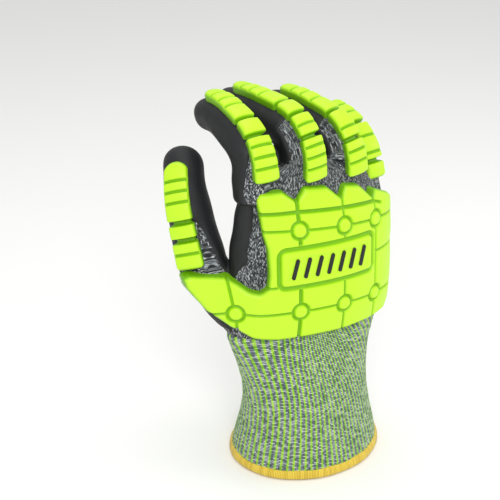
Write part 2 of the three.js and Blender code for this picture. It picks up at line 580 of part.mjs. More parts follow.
// The guard is carried below its base by a share of the hand's depth, then cut by the hand.
const UNDER = 0.0734 * HAND_DEPTH;
function guardFlat() {
  const slab = new THREE.ExtrudeGeometry(shapeOf(GUARD_OUTLINE.map(laid)), {
    depth: UNDER + GUARD_HEIGHT - GUARD_CHAMFER, bevelEnabled: true, bevelThickness: GUARD_CHAMFER,
    bevelSize: GUARD_CHAMFER, bevelOffset: -GUARD_CHAMFER, bevelSegments: 1, curveSegments: 4,
  });
  slab.translate(0, 0, -UNDER);
  let solid = toSolid(slab);
  const groove = ([[u0, z0], [u1, z1]]) => {
    const half = GROOVE_WIDTH / 2;
    const shape = shapeOf([[-0.35 * half, -GROOVE_DEPTH], [0.35 * half, -GROOVE_DEPTH], [half, 0],
      [half, 1], [-half, 1], [-half, 0]]);
    const run = Math.hypot(u1 - u0, z1 - z0);
    const bar = new THREE.ExtrudeGeometry(shape, { depth: run, bevelEnabled: false });
    bar.rotateX(Math.PI / 2).rotateZ(Math.atan2(z1 - z0, u1 - u0) + Math.PI / 2);
    bar.translate(u0, z0, GUARD_HEIGHT);
    return outward(bar);
  };
  for (const line of GUARD_GROOVES) solid = solid.subtract(groove(line.map(laid)));
  const frame = (grow) => {
    const l = across(PLATE.left) - grow;
    const r = across(PLATE.right) + grow;
    const b = height(PLATE.bottom) - grow;
    const t = height(PLATE.top) + grow;
    const c = PLATE_CORNER + 0.5 * grow;
    return shapeOf([[l + c, b], [r - c, b], [r, b + c], [r, t - c], [r - c, t], [l + c, t], [l, t - c], [l, b + c]]);
  };
  const recess = new THREE.ExtrudeGeometry(frame(0.27 * PLATE_MOAT), {
    depth: GROOVE_DEPTH + GUARD_HEIGHT, bevelEnabled: false,
  });
  recess.translate(0, 0, GUARD_HEIGHT - GROOVE_DEPTH);
  const bevel = 0.4 * (GROOVE_DEPTH + PLATE_RISE);
  const rooted = 0.3 * GUARD_HEIGHT;
  const plate = new THREE.ExtrudeGeometry(frame(-0.73 * PLATE_MOAT), {
    depth: rooted + GROOVE_DEPTH + PLATE_RISE - bevel, bevelEnabled: true, bevelThickness: bevel,
    bevelSize: bevel, bevelOffset: 0, bevelSegments: 1,
  });
  plate.translate(0, 0, GUARD_HEIGHT - GROOVE_DEPTH - rooted);
  solid = solid.subtract(toSolid(recess)).add(toSolid(plate));
  for (const [u, z] of GUARD_STUDS.map(laid)) {
    const ringRadius = STUD_RADIUS + STUD_MOAT;
    const ring = new THREE.CylinderGeometry(ringRadius, ringRadius - 0.45 * STUD_MOAT, GROOVE_DEPTH, 10);
    ring.rotateX(Math.PI / 2).translate(u, z, GUARD_HEIGHT - GROOVE_DEPTH / 2 + 0.01);
    const foot = GUARD_HEIGHT - GROOVE_DEPTH - 0.1 * GUARD_HEIGHT;
    const top = GUARD_HEIGHT + STUD_RISE - foot;
    const stud = new THREE.LatheGeometry([new THREE.Vector2(0, 0), new THREE.Vector2(1.18 * STUD_RADIUS, 0),
      new THREE.Vector2(STUD_RADIUS, 0.77 * top), new THREE.Vector2(0.68 * STUD_RADIUS, top),
      new THREE.Vector2(0, top)], 8);
    stud.rotateX(Math.PI / 2).translate(u, z, foot);
    solid = solid.subtract(outward(ring)).add(outward(stud));
  }
  return solid;
}

function wrapped(flat, longest) {
  const fine = new TessellateModifier(longest, 8).modify(toGeometry(flat));
  const position = fine.attributes.position;
  for (let i = 0; i < position.count; i++) {
    const p = wrapBack(position.getX(i), position.getY(i), position.getZ(i));
    position.setXYZ(i, p.x, p.y, p.z);
  }
  return outward(mergeVertices(fine, 1e-4));
}
const largest = (solid) => solid.decompose().sort((a, b) => b.volume() - a.volume())[0];
const guardSolid = largest(wrapped(guardFlat(), across(0.267)).subtract(seat));

// ---- strips along the fingers ----
function stripSolid(name) {
  const strip = STRIPS[name];
  const f = fingerSize(name);
  const frames = fingerFrames(name);
  const tops = [];
  let run = 0;
  let last = null;
  for (const frame of frames) {
    const share = frame.s / f.length;
    const radius = lerp(f.root, f.tip, share);
    const top = frame.at.clone().addScaledVector(frame.up, radius + STRIP_HEIGHT);
    if (last) run += top.distanceTo(last);
    last = top;
    tops.push({ run, frame, radius });
  }
  const endRun = tops.find((t) => t.frame.s >= strip.end * f.length).run;
  const at = (distance) => {
    const i = Math.min(Math.max(tops.findIndex((t) => t.run >= distance), 0), tops.length - 1);
    return tops[distance > run ? tops.length - 1 : i];
  };
  // Stations: place, height share of the block, width share.
  const stations = [[0, 0.55, 0.97], [STRIP_CHAMFER, 1, 1]];
  for (const [share, kind] of strip.grooves) {
    const place = share * endRun;
    const half = (kind === 2 ? NOTCH_WIDTH : LINE_WIDTH) / 2;
    const deep = kind === 2 ? 0.42 : 0.66;
    const pinch = kind === 2 ? 0.88 : 1;
    stations.push([place - half, 1, 1], [place, deep, pinch], [place + half, 1, 1]);
  }
  const blunt = strip.tipWidth * STRIP_WIDTH;
  stations.push([endRun - 0.6 * blunt, 1, 0.98], [endRun - 0.24 * blunt, 0.95, 0.78], [endRun, 0.55, 0.5]);
  stations.sort((a, b) => a[0] - b[0]);
  const rings = stations.map(([place, high, wide]) => {
    const { frame, radius } = at(place);
    const width = STRIP_WIDTH * lerp(strip.width, strip.tipWidth, place / endRun) * wide;
    const half = width / 2;
    const sink = Math.sqrt(Math.max(radius * radius - half * half, 0.04 * radius * radius)) - 0.22 * radius;
    const top = radius + STRIP_HEIGHT * high;
    const shoulder = top - 1.54 * STRIP_CHAMFER;
    const point = (across, up) => frame.at.clone().addScaledVector(frame.across, across)
      .addScaledVector(frame.up, up);
    return [point(-half, sink), point(half, sink), point(half, shoulder),
      point(half - STRIP_CHAMFER, top), point(-half + STRIP_CHAMFER, top), point(-half, shoulder)];
  });
  return outward(loft(rings)).subtract(seat);
}

// ---- the object ----
const group = new THREE.Group();
group.name = "impact_glove";
function addPiece(name, solid, material) {
  const mesh = new THREE.Mesh(toGeometry(solid), material);
  mesh.name = name;
  group.add(mesh);
}
addPiece("hem_band", hem, OVERLOCK);
addPiece("rib_cuff", cuff, RIBBING);
addPiece("hand_body", body, LINER);
for (const name of NAMES) addPiece(`${name}_stall`, stalls[name], LINER);
addPiece("palm_coating", coating, COATING);
addPiece("back_guard", guardSolid, MOULDED);
for (const name of NAMES) addPiece(`${name}_guard`, stripSolid(name), MOULDED);

export default group;
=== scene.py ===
# %% [markdown]
# # A knit work glove with moulded impact guards
# The real glove is one seamless knit liner, pulled over a form and dipped on the palm side,
# with soft mouldings welded to the back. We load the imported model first, because every
# piece here has to lie on it, and keep its size for the end.

# %% Load the frame
import math

import bpy
import numpy as np
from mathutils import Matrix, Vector


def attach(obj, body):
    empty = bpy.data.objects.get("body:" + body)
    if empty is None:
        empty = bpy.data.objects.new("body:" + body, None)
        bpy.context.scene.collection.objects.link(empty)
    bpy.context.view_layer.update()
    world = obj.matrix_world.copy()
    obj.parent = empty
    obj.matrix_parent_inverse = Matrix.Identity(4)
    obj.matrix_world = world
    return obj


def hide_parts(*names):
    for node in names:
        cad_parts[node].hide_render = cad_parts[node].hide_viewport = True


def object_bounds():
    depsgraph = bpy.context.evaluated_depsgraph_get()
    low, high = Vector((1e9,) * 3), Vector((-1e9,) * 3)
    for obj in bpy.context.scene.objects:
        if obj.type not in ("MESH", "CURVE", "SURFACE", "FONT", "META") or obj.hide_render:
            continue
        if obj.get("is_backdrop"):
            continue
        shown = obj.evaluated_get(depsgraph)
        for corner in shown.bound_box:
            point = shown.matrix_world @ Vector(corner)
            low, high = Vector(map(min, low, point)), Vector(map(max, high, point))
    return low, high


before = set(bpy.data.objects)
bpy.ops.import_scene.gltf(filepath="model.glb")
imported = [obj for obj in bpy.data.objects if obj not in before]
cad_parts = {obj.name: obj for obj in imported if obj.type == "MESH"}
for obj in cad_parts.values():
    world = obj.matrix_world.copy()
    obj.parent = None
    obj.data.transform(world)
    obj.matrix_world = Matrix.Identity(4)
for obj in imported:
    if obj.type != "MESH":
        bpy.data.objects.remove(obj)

cad_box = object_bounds()
MM = 0.001
print("nodes:", sorted(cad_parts))

# %% [markdown]
# ## Sizes
# A glove is described well by a few tables: sections across the cuff and hand, and a curled
# centre line for each finger. The same numbers shaped the solid model, so what is drawn
# here lies on it. All lengths are in millimetres until a mesh is made.

# %% Tables of the hand
HAND_COLUMNS = ("z", "cx", "cy", "half_width", "back", "palm", "square", "tilt")
HAND_TABLE = np.array([
    [0, 0.0, 0.0, 43.2, 37.4, 37.4, 2.0, 0.0],
    [12, -0.6, -1.2, 41.4, 34.4, 34.4, 2.0, 0.0],
    [25, -1.6, -2.6, 38.6, 31.0, 31.0, 2.0, 0.0],
    [38, -2.7, -3.8, 37.0, 28.2, 28.0, 2.0, 0.0],
    [50, -3.4, -3.9, 37.4, 25.0, 25.6, 2.0, -0.03],
    [64, -4.3, -3.6, 39.8, 20.8, 23.0, 2.0, -0.08],
    [78, -4.2, -3.0, 43.4, 15.6, 19.4, 2.0, -0.14],
    [95, -2.4, -3.0, 45.0, 17.2, 18.2, 2.0, -0.13],
    [112, -1.8, -3.0, 45.0, 17.0, 17.4, 2.0, -0.125],
    [131, -1.4, -3.0, 44.8, 16.2, 16.6, 1.98, -0.12],
    [148, -0.2, -3.0, 43.6, 13.9, 15.4, 1.94, -0.1],
    [160, 0.8, -3.4, 42.8, 11.8, 13.6, 1.9, -0.08],
    [167, 0.6, -3.8, 41.4, 9.6, 10.8, 1.9, -0.07],
    [171, 0.3, -4.0, 36.4, 5.8, 6.4, 1.95, -0.06],
])
CUFF_TOP = 78.0
KNUCKLE_DROP = 15.0
FINGER_COLUMNS = (
    "x", "y", "z", "lean", "pitch", "bend1", "at1", "bend2", "at2", "length", "root", "tip",
)
FINGER_TABLE = {
    "index": (-35.7, -0.2, 167.6, 0.6, 2.2, 66.9, 12.1, 30.2, 40.8, 49.5, 9.8, 8.2),
    "middle": (-8.6, -4.4, 166.5, -5.6, -8.0, 91.0, 16.2, 8.5, 51.5, 68.5, 10.0, 8.3),
    "ring": (16.9, -6.8, 164.9, -8.2, -9.6, 86.9, 12.3, 13.9, 43.8, 59.5, 9.5, 7.9),
    "little": (37.1, 0.9, 152.2, -2.9, 8.7, 58.2, 16.2, 16.6, 34.3, 43.5, 8.7, 7.2),
}
BEND_SPAN = (28.0, 22.0)
THUMB = dict(
    x=-54.9, y=18.2, z=119.0, lean=17.0, pitch=7.9, bend=28.5, at=37.6, bearing=-56.0,
    length=51.5, root=12.2, tip=9.7, span=26.0,
)
THENAR = np.array([
    [-25, 5.0, 66, 11.0],
    [-34, 9.0, 84, 12.3],
    [-42, 13.0, 97, 13.0],
    [-49, 16.3, 108, 12.6],
])
print("fingers:", list(FINGER_TABLE), "and a thumb")

# %% [markdown]
# ## Small helpers
# Every shape below is worked out as whole arrays, so we need only three helpers: a soft
# step from 0 to 1, a lookup in a table, and one that turns points and faces into an object.

# %% Helpers for arrays and meshes


def ease(t):
    """Soft step: 0 below 0, 1 above 1, three t squared less two t cubed between."""
    t = np.clip(t, 0.0, 1.0)
    return t * t * (3.0 - 2.0 * t)


def section_values(z):
    """Each column of the hand's table at the heights z, straight between its rows."""
    rows = HAND_TABLE
    return {
        name: np.interp(z, rows[:, 0], rows[:, k]) for k, name in enumerate(HAND_COLUMNS)
    }


def add_object(name, points_mm, faces, smooth=True):
    """An object at the origin from an array of points in millimetres and its faces."""
    mesh = bpy.data.meshes.new(name)
    points = np.asarray(points_mm, dtype=np.float64).reshape(-1, 3) * MM
    mesh.from_pydata(points.tolist(), [], np.asarray(faces).tolist())
    mesh.validate()
    mesh.polygons.foreach_set("use_smooth", np.full(len(mesh.polygons), smooth))
    mesh.update()
    piece = bpy.data.objects.new(name, mesh)
    bpy.context.scene.collection.objects.link(piece)
    return piece


def grid_faces(rows, columns, around=False, along=False):
    """Quads over a grid of points, closed around the columns or along the rows if asked."""
    r = np.arange(rows if along else rows - 1)[:, None]
    c = np.arange(columns if around else columns - 1)[None, :]
    r2 = (r + 1) % rows
    c2 = (c + 1) % columns
    quads = np.stack(
        np.broadcast_arrays(r * columns + c, r * columns + c2, r2 * columns + c2, r2 * columns + c),
        axis=-1,
    )
    return quads.reshape(-1, 4)


def set_attribute(piece, name, kind, values):
    """Stores one value per vertex, such as a number or a pair, for a material to read."""
    layer = piece.data.attributes.new(name, kind, "POINT")
    key = "value" if kind == "FLOAT" else "vector"
    layer.data.foreach_set(key, np.asarray(values, dtype=np.float32).ravel())


# %% [markdown]
# ## The hand inside
# A knit glove takes the form of the hand in it. We describe that form as four tubes for
# the fingers, one for the thumb and its muscle, a flattened loft for the palm, and an egg
# in two of the gaps between fingers. A voxel remesh melts them into one skin, much as the
# knit spans the gaps.

# %% Loft of the palm


def hand_ring(angle, z, grow=0.0):
    """A section at height z: a squashed circle, deeper to the palm than to the back.
    The distance from its centre is one over the n-th root of the summed n-th powers of
    cosine over half width and sine over depth. The end at the little finger hangs lower."""
    s = section_values(z)
    c = np.cos(angle)
    d = np.sin(angle)
    depth = np.where(d < 0, s["back"], s["palm"]) + grow
    n = s["square"]
    r = (np.abs(c / (s["half_width"] + grow)) ** n + np.abs(d / depth) ** n) ** (-1 / n)
    x = s["cx"] + r * c
    y = s["cy"] + r * d + s["tilt"] * r * c
    drop = KNUCKLE_DROP * ease((x - 10) / 30) * ease((z - 112) / 50)
    return np.stack([x, y, z - drop], axis=-1)


def closed_loft(rings, first_pole, last_pole):
    """Points and faces of a skin over rings, closed at each end by a fan to its pole."""
    rows, columns = rings.shape[:2]
    points = np.concatenate([rings.reshape(-1, 3), [first_pole, last_pole]])
    quads = grid_faces(rows, columns, around=True).tolist()
    i = np.arange(columns)
    j = (i + 1) % columns
    low = np.stack([np.full(columns, rows * columns), j, i], axis=-1).tolist()
    top = (rows - 1) * columns
    high = np.stack([np.full(columns, rows * columns + 1), top + i, top + j], axis=-1).tolist()
    return points, quads + low + high


def palm_loft():
    """The palm from inside the cuff to the roots of the fingers."""
    z = np.concatenate([np.arange(64, 160, 1.5), np.arange(160, 171, 0.75), [171.0]])
    angle = np.linspace(0, 2 * np.pi, 120, endpoint=False)
    rings = hand_ring(angle[None, :], z[:, None])
    return closed_loft(rings, rings[0].mean(axis=0), rings[-1].mean(axis=0) + [0, 0, 1.0])


# %% Curled centre lines


def centre_line(name, step=0.25):
    """Points, directions and cross axes along a finger. The pitch grows by each joint's
    bend as a soft step over the joint's span, and the points are its running sum."""
    if name == "thumb":
        f = THUMB
        s = np.arange(0, f["length"] + step / 2, step)
        pitch = f["pitch"] + f["bend"] * ease((s - f["at"]) / f["span"] + 0.5)
        bearing = math.radians(f["bearing"])
        back = np.array([math.sin(bearing), -math.cos(bearing), 0.0])
        lean = math.radians(f["lean"])
    else:
        f = dict(zip(FINGER_COLUMNS, FINGER_TABLE[name]))
        s = np.arange(0, f["length"] + step / 2, step)
        pitch = f["pitch"] + f["bend1"] * ease((s - f["at1"]) / BEND_SPAN[0] + 0.5)
        pitch = pitch + f["bend2"] * ease((s - f["at2"]) / BEND_SPAN[1] + 0.5)
        back = np.array([0.0, -1.0, 0.0])
        lean = math.radians(-f["lean"])
    side = np.cross(back, [0.0, 0.0, 1.0])
    p = np.radians(pitch)[:, None]
    up_axis = np.array([0.0, 0.0, 1.0])
    along = -back * np.sin(p) * math.cos(lean) + up_axis * np.cos(p) * math.cos(lean)
    along = along + side * math.sin(lean)
    up = back * np.cos(p) + up_axis * np.sin(p)
    start = np.array([f["x"], f["y"], f["z"]])
    moved = np.cumsum(along[1:] * step, axis=0)
    at = np.concatenate([[start], start + moved])
    radius = f["root"] + (f["tip"] - f["root"]) * s / f["length"]
    return dict(s=s, at=at, along=along, up=up, across=np.cross(up, along), radius=radius)


LINES = {name: centre_line(name) for name in (*FINGER_TABLE, "thumb")}


def tube_rings(line, sides, lead, stride=4):
    """Rings round a centre line, straight back from its root by lead, and a round end."""
    pick = np.arange(0, len(line["s"]), stride)
    angle = np.linspace(0, 2 * np.pi, sides, endpoint=False)

    def ring(at, up, across, radius):
        spoke = np.cos(angle)[None, :, None] * up[:, None, :]
        spoke = spoke + np.sin(angle)[None, :, None] * across[:, None, :]
        return at[:, None, :] + radius[:, None, None] * spoke

    body = ring(line["at"][pick], line["up"][pick], line["across"][pick], line["radius"][pick])
    turn = np.radians([15, 30, 45, 58, 70, 80])
    tip = line["radius"][-1]
    end_at = line["at"][-1] + np.sin(turn)[:, None] * tip * line["along"][-1]
    end_up = np.tile(line["up"][-1], (len(turn), 1))
    end_across = np.tile(line["across"][-1], (len(turn), 1))
    end = ring(end_at, end_up, end_across, tip * np.cos(turn))
    pole = line["at"][-1] + tip * line["along"][-1]
    back = np.array([lead, lead / 2])
    start_at = line["at"][0] - back[:, None] * line["along"][0]
    start_up = np.tile(line["up"][0], (2, 1))
    start_across = np.tile(line["across"][0], (2, 1))
    start = ring(start_at, start_up, start_across, np.full(2, line["radius"][0]))
    return start, body, end, pole


def finger_loft(name):
    """One finger as a closed tube that starts inside the palm."""
    start, body, end, pole = tube_rings(LINES[name], 48, 12)
    rings = np.concatenate([start, body, end])
    return closed_loft(rings, rings[0].mean(axis=0), pole)


def smooth_line(points, count):
    """A smooth run of count points through a few given ones, as a centripetal Catmull-Rom
    curve: the time between two is the root of their distance, and the slope at each is
    weighed by the times to both its neighbours."""
    ends = 2 * points[[0, -1]] - points[[1, -2]]
    p = np.concatenate([ends[:1], points, ends[1:]])
    step = np.diff(p, axis=0)
    time = np.sqrt(np.linalg.norm(step, axis=1))[:, None]
    t = np.linspace(0, len(points) - 1, count)
    i = np.clip(t.astype(int), 0, len(points) - 2)
    u = (t - i)[:, None]
    speed = step / time
    both = (step[:-1] + step[1:]) / (time[:-1] + time[1:])
    slope = speed[:-1] - both + speed[1:]
    m, n = slope[i] * time[i + 1], slope[i + 1] * time[i + 1]
    return (
        (2 * u**3 - 3 * u**2 + 1) * points[i]
        + (u**3 - 2 * u**2 + u) * m
        + (3 * u**2 - 2 * u**3) * points[i + 1]
        + (u**3 - u**2) * n
    )


def thumb_loft():
    """The muscle at the base of the thumb and the thumb, as one closed tube."""
    line = LINES["thumb"]
    _, body, end, pole = tube_rings(line, 48, 1)
    rows = np.concatenate([THENAR, [[THUMB["x"], THUMB["y"], THUMB["z"], THUMB["root"]]]])
    run = smooth_line(rows[:, :3], 40)[:-1]
    thick = np.interp(np.linspace(0, len(rows) - 1, 40)[:-1], np.arange(len(rows)), rows[:, 3])
    along = np.gradient(run, axis=0)
    along /= np.linalg.norm(along, axis=1)[:, None]
    share = (np.linspace(0, 1, 40)[:-1, None]) ** 2
    along = along * (1 - share) + line["along"][0] * share
    along /= np.linalg.norm(along, axis=1)[:, None]
    across = np.cross(np.tile(line["up"][0], (39, 1)), along)
    across /= np.linalg.norm(across, axis=1)[:, None]
    up = np.cross(along, across)
    angle = np.linspace(0, 2 * np.pi, 48, endpoint=False)
    root = run[:, None, :] + thick[:, None, None] * (
        np.cos(angle)[None, :, None] * up[:, None, :] + np.sin(angle)[None, :, None] * across[:, None, :]
    )
    rings = np.concatenate([root, body, end])
    return closed_loft(rings, rings[0].mean(axis=0), pole)


# %% Melt the tubes into one skin
VOXEL = 1.15


def applied(piece, keep):
    """A new object from the mesh that the modifiers of a piece give, and the piece goes."""
    graph = bpy.context.evaluated_depsgraph_get()
    mesh = bpy.data.meshes.new_from_object(piece.evaluated_get(graph))
    fresh = bpy.data.objects.new(keep, mesh)
    bpy.context.scene.collection.objects.link(fresh)
    old = piece.data
    bpy.data.objects.remove(piece)
    bpy.data.meshes.remove(old)
    return fresh


def crotch_loft(centre, size):
    """An egg between the roots of two fingers, where the knit spans the gap."""
    turn = np.linspace(0, 2 * np.pi, 32, endpoint=False)
    rise = np.linspace(-1.3, 1.3, 14)
    ring = np.stack([np.cos(turn), np.sin(turn), np.zeros(32)], axis=-1)
    rings = np.cos(rise)[:, None, None] * ring + np.sin(rise)[:, None, None] * np.array([0, 0, 1])
    rings = np.array(centre) + rings * np.array(size)
    return closed_loft(rings, rings[0].mean(axis=0), rings[-1].mean(axis=0))


CROTCHES = [((-22.0, 6.5, 168.0), (9.0, 6.0, 11.0)), ((4.0, 3.0, 167.0), (8.0, 6.0, 8.0))]


def melted_hand():
    """All lofts in one mesh, remeshed into a single skin and smoothed at the crotches."""
    points, faces = [], []
    base = 0
    eggs = [crotch_loft(*values) for values in CROTCHES]
    for made in (palm_loft(), thumb_loft(), *(finger_loft(n) for n in FINGER_TABLE), *eggs):
        points.append(made[0])
        faces += [[base + v for v in face] for face in made[1]]
        base += len(made[0])
    mesh = bpy.data.meshes.new("hand_form")
    mesh.from_pydata((np.concatenate(points) * MM).tolist(), [], faces)
    form = bpy.data.objects.new("hand_form", mesh)
    bpy.context.scene.collection.objects.link(form)
    remesh = form.modifiers.new("melt", "REMESH")
    remesh.mode = "VOXEL"
    remesh.voxel_size = VOXEL * MM
    remesh.use_smooth_shade = True
    calm = form.modifiers.new("calm", "SMOOTH")
    calm.factor = 0.5
    calm.iterations = 9
    return applied(form, "hand_form")


form = melted_hand()
form_points = np.empty(len(form.data.vertices) * 3)
form.data.vertices.foreach_get("co", form_points)
form_points = form_points.reshape(-1, 3) / MM
form_normals = np.empty(len(form.data.vertices) * 3)
form.data.vertices.foreach_get("normal", form_normals)
form_normals = form_normals.reshape(-1, 3)
form_quads = np.array([list(p.vertices) for p in form.data.polygons if len(p.vertices) == 4])
print("hand form:", len(form_points), "points", len(form.data.polygons), "faces")

# %% [markdown]
# ## Where the dip stops
# The palm is dipped with the hand hanging in the bath, so the edge of the coating follows a
# nearly level surface of liquid. We write it as a depth: how far each point lay below it.
# The fingers curl down into the bath, so their ends are coated all round by themselves.

# %% Depth in the bath


SIDE_EDGE = {"index": 0.62, "middle": 0.5, "ring": 0.5, "little": 0.3}


def finger_dip(p):
    """How far each point lies beyond the edge of the dip on the thumb side of its finger.
    That edge runs along the finger, a share of its radius above the centre line, and is
    lost over the first 10 mm from the root."""
    best = np.full(len(p), 1.3)
    beyond = np.full(len(p), -9.0)
    for name, share_up in SIDE_EDGE.items():
        line = {key: values[::8] for key, values in LINES[name].items()}
        near = np.linalg.norm(p[:, None, :] - line["at"][None, :, :], axis=2)
        k = near.argmin(axis=1)
        share = near[np.arange(len(p)), k] / line["radius"][k]
        off = p - line["at"][k]
        up = np.einsum("ij,ij->i", off, line["up"][k])
        aside = np.einsum("ij,ij->i", off, line["across"][k])
        edge = share_up * line["radius"][k] * ease((aside + 2) / 4) - up - 1.0
        edge = edge - 9.0 * (1 - ease((line["s"][k] - 1.0) / 9.0))
        closer = share < best
        beyond = np.where(closer, edge, beyond)
        best = np.where(closer, share, best)
    return beyond


def dip_depth(p):
    """Millimetres below the liquid: y less its level, which lies further to the palm on
    the thumb and nearer to the back beside the first finger, and stops above the cuff.
    On the fingers the dip also reaches up the side that faces the thumb."""
    x, y, z = p[:, 0], p[:, 1], p[:, 2]
    on_thumb = ease((-x - 46) / 4)
    thumb_side = (5.5 + 1.25 * np.clip(-x - 51.4, 0, 12)) * on_thumb * ease((152 - z) / 10)
    knuckle = -5.5 * ease((z - 114) / 12) * ease((-x - 20) / 18) * (1 - on_thumb)
    level = 0.5 + thumb_side + knuckle
    wave = 0.5 * np.sin(x * 0.31 + z * 0.23) + 0.3 * np.sin(z * 0.71 + 1.0)
    teeth = 82.0 + 0.9 * np.abs((np.arctan2(y + 3, x + 2) * 17) % 2 - 1)
    return np.minimum(np.maximum(y - level, finger_dip(p)) + 0.5 * wave, z - teeth)


depth = dip_depth(form_points)
print("coated share:", round(float((depth > 0).mean()), 2))

# %% [markdown]
# ## Threads that follow the fingers
# A knit has wales, columns of stitches that run up each finger, and courses across them.
# The remesh lost any map, so we work one out: the nearest centre line gives the distance
# along a finger, and the turn round it gives the place across.

# %% Wales and courses


def thread_map(p):
    """For each point, millimetres across the wales and along them. On the palm that is
    the run round the section and the height; on a finger the turn times its radius and
    the distance along its centre line."""
    turn = np.linspace(-np.pi, np.pi, 721)
    ring = hand_ring(turn, np.full(721, 120.0))
    run = np.concatenate([[0], np.cumsum(np.linalg.norm(np.diff(ring, axis=0), axis=1))])
    angle = np.arctan2((p[:, 1] + 3) * 1.0, p[:, 0] + 1.5)
    ring_angle = np.arctan2(ring[:, 1] + 3, ring[:, 0] + 1.5)
    order = np.argsort(ring_angle)
    across = np.interp(angle, ring_angle[order], run[order])
    along = p[:, 2].copy()
    best = np.full(len(p), 1.25)
    for line in LINES.values():
        at = line["at"][::8]
        near = np.linalg.norm(p[:, None, :] - at[None, :, :], axis=2)
        k = near.argmin(axis=1)
        share = near[np.arange(len(p)), k] / line["radius"][::8][k]
        inside = (share < best) & (k > 4)
        off = p - at[k]
        c = np.einsum("ij,ij->i", off, line["up"][::8][k])
        s = np.einsum("ij,ij->i", off, line["across"][::8][k])
        across = np.where(inside, np.arctan2(s, c) * 9.5, across)
        along = np.where(inside, line["at"][0][2] + line["s"][::8][k], along)
        best = np.where(inside, share, best)
    return np.stack([across, along], axis=1)


threads = thread_map(form_points)

# %% [markdown]
# ## The liner
# Under everything lies the knit, a thin even skin. It is the melted hand itself, cut open
# where the cuff takes over.

# %% Knit liner


def part_of_form(name, keep, points):
    """A piece from those faces of the hand form whose corners are all to be kept."""
    faces = form_quads[keep[form_quads].all(axis=1)]
    used = np.unique(faces)
    place = np.full(len(points), -1)
    place[used] = np.arange(len(used))
    piece = add_object(name, points[used], place[faces])
    uv = piece.data.uv_layers.new(name="threads")
    loops = np.empty(len(piece.data.loops), dtype=np.int32)
    piece.data.loops.foreach_get("vertex_index", loops)
    uv.data.foreach_set("uv", threads[used][loops].astype(np.float32).ravel())
    return piece, used


liner, _ = part_of_form("knit_liner", form_points[:, 2] > CUFF_TOP + 1.0, form_points)
print("liner faces:", len(liner.data.polygons))

# %% [markdown]
# ## The coating
# Dipped nitrile lies on the knit as a skin under a millimetre thick, and thins out to
# nothing at its edge. We lift the form along its normals by the soft step of the depth,
# so the coating comes up out of the knit along a clean, slightly wavy line.

# %% Palm coating
COAT = 0.8


def coated_points():
    """The form moved along its normals: up by the coat where dipped, under the knit
    where not, and by faint wrinkles across the palm and at the joints."""
    x, y, z = form_points.T
    lift = COAT * np.tanh(depth / 0.8)
    folds = 0.22 * np.sin(0.35 * z + 0.11 * x + 1.7 * np.sin(0.07 * x + 0.05 * z))
    folds = folds * ease(depth / 6)
    return form_points + form_normals * (lift + folds)[:, None]


coat, _ = part_of_form("palm_coat", depth > -2.0, coated_points())
print("coating faces:", len(coat.data.polygons))

# %% [markdown]
# ## The cuff
# A rib knit has raised and sunken wales by turns, which let it stretch over the hand. It
# is one tube with a wall, its outside waved once for each pair of wales. Worn, the ribs
# are pulled round towards the thumb as they climb.

# %% Ribbed cuff
RIB_PAIRS = 74
RIB_RISE = 0.42
CUFF_WALL = 1.6


def cuff_surface():
    """Section at height z, grown by a wave round it; then the same inside, one wall in."""
    columns = RIB_PAIRS * 8
    turn = np.arange(columns) / columns
    z = np.concatenate([np.arange(2.0, CUFF_TOP + 1.5, 1.5), [CUFF_TOP + 2.0, CUFF_TOP + 2.6]])
    inner = z[::-4]
    twist = -0.2 * ease((z - 20) / 70) ** 2
    angle = 2 * np.pi * turn[None, :] + twist[:, None]
    wave = RIB_RISE * (np.abs(np.cos(2 * np.pi * turn * RIB_PAIRS / 2)) - 0.75)
    tuck = (0.5 * ease((z - 60) / 14) - 0.9 * ease((z - CUFF_TOP - 1.6) / 1.0))[:, None]
    outside = hand_ring(angle, z[:, None], wave[None, :] + tuck)
    inner_twist = -0.2 * ease((inner - 20) / 70) ** 2
    inside = hand_ring(2 * np.pi * turn[None, :] + inner_twist[:, None], inner[:, None], -CUFF_WALL)
    rings = np.concatenate([outside, inside])
    across = np.broadcast_to(turn * RIB_PAIRS, (len(rings), columns))
    up = np.broadcast_to(np.concatenate([z, inner])[:, None], (len(rings), columns))
    return rings, across, up


cuff_rings, cuff_across, cuff_up = cuff_surface()
cuff = add_object("rib_knit_cuff", cuff_rings, grid_faces(*cuff_rings.shape[:2], around=True, along=True))
set_attribute(cuff, "wale", "FLOAT", cuff_across)
set_attribute(cuff, "course", "FLOAT", cuff_up)
print("cuff faces:", len(cuff.data.polygons), "with", RIB_PAIRS, "pairs of wales")

# %% [markdown]
# ## The hem
# The raw edge of the cuff is bound with an overlock seam: loops of stretchy yellow thread
# lying side by side. It is a rounded band with a fine ripple for the loops.

# %% Overlocked hem


HEM_HEIGHT = 5.2
HEM_LOOPS = 280


def hem_surface():
    """A rounded profile carried round the rim, with a ripple of one loop each 0.9 mm."""
    loops = HEM_LOOPS
    columns = loops * 4
    turn = np.arange(columns) / columns
    around = np.linspace(0, 2 * np.pi, 22, endpoint=False)
    grow = np.sign(np.cos(around)) * np.abs(np.cos(around)) ** 0.7 * 1.5 - 0.6
    high = HEM_HEIGHT / 2 * (1 + np.sign(np.sin(around)) * np.abs(np.sin(around)) ** 0.75)
    angle = 2 * np.pi * turn[None, :]
    ripple = 0.13 * np.cos(loops * angle) + 0.1 * np.sin(9 * angle)
    outer = ease((np.cos(around) + 0.4) / 0.6)[:, None]
    rings = hand_ring(angle, high[:, None] * np.ones((1, columns)), grow[:, None] + ripple * outer)
    rings[..., 2] += 0.18 * np.sin(2 * np.pi * 13 * turn)[None, :] * ease(high / 5)[:, None]
    return rings, np.broadcast_to(turn * loops, rings.shape[:2])


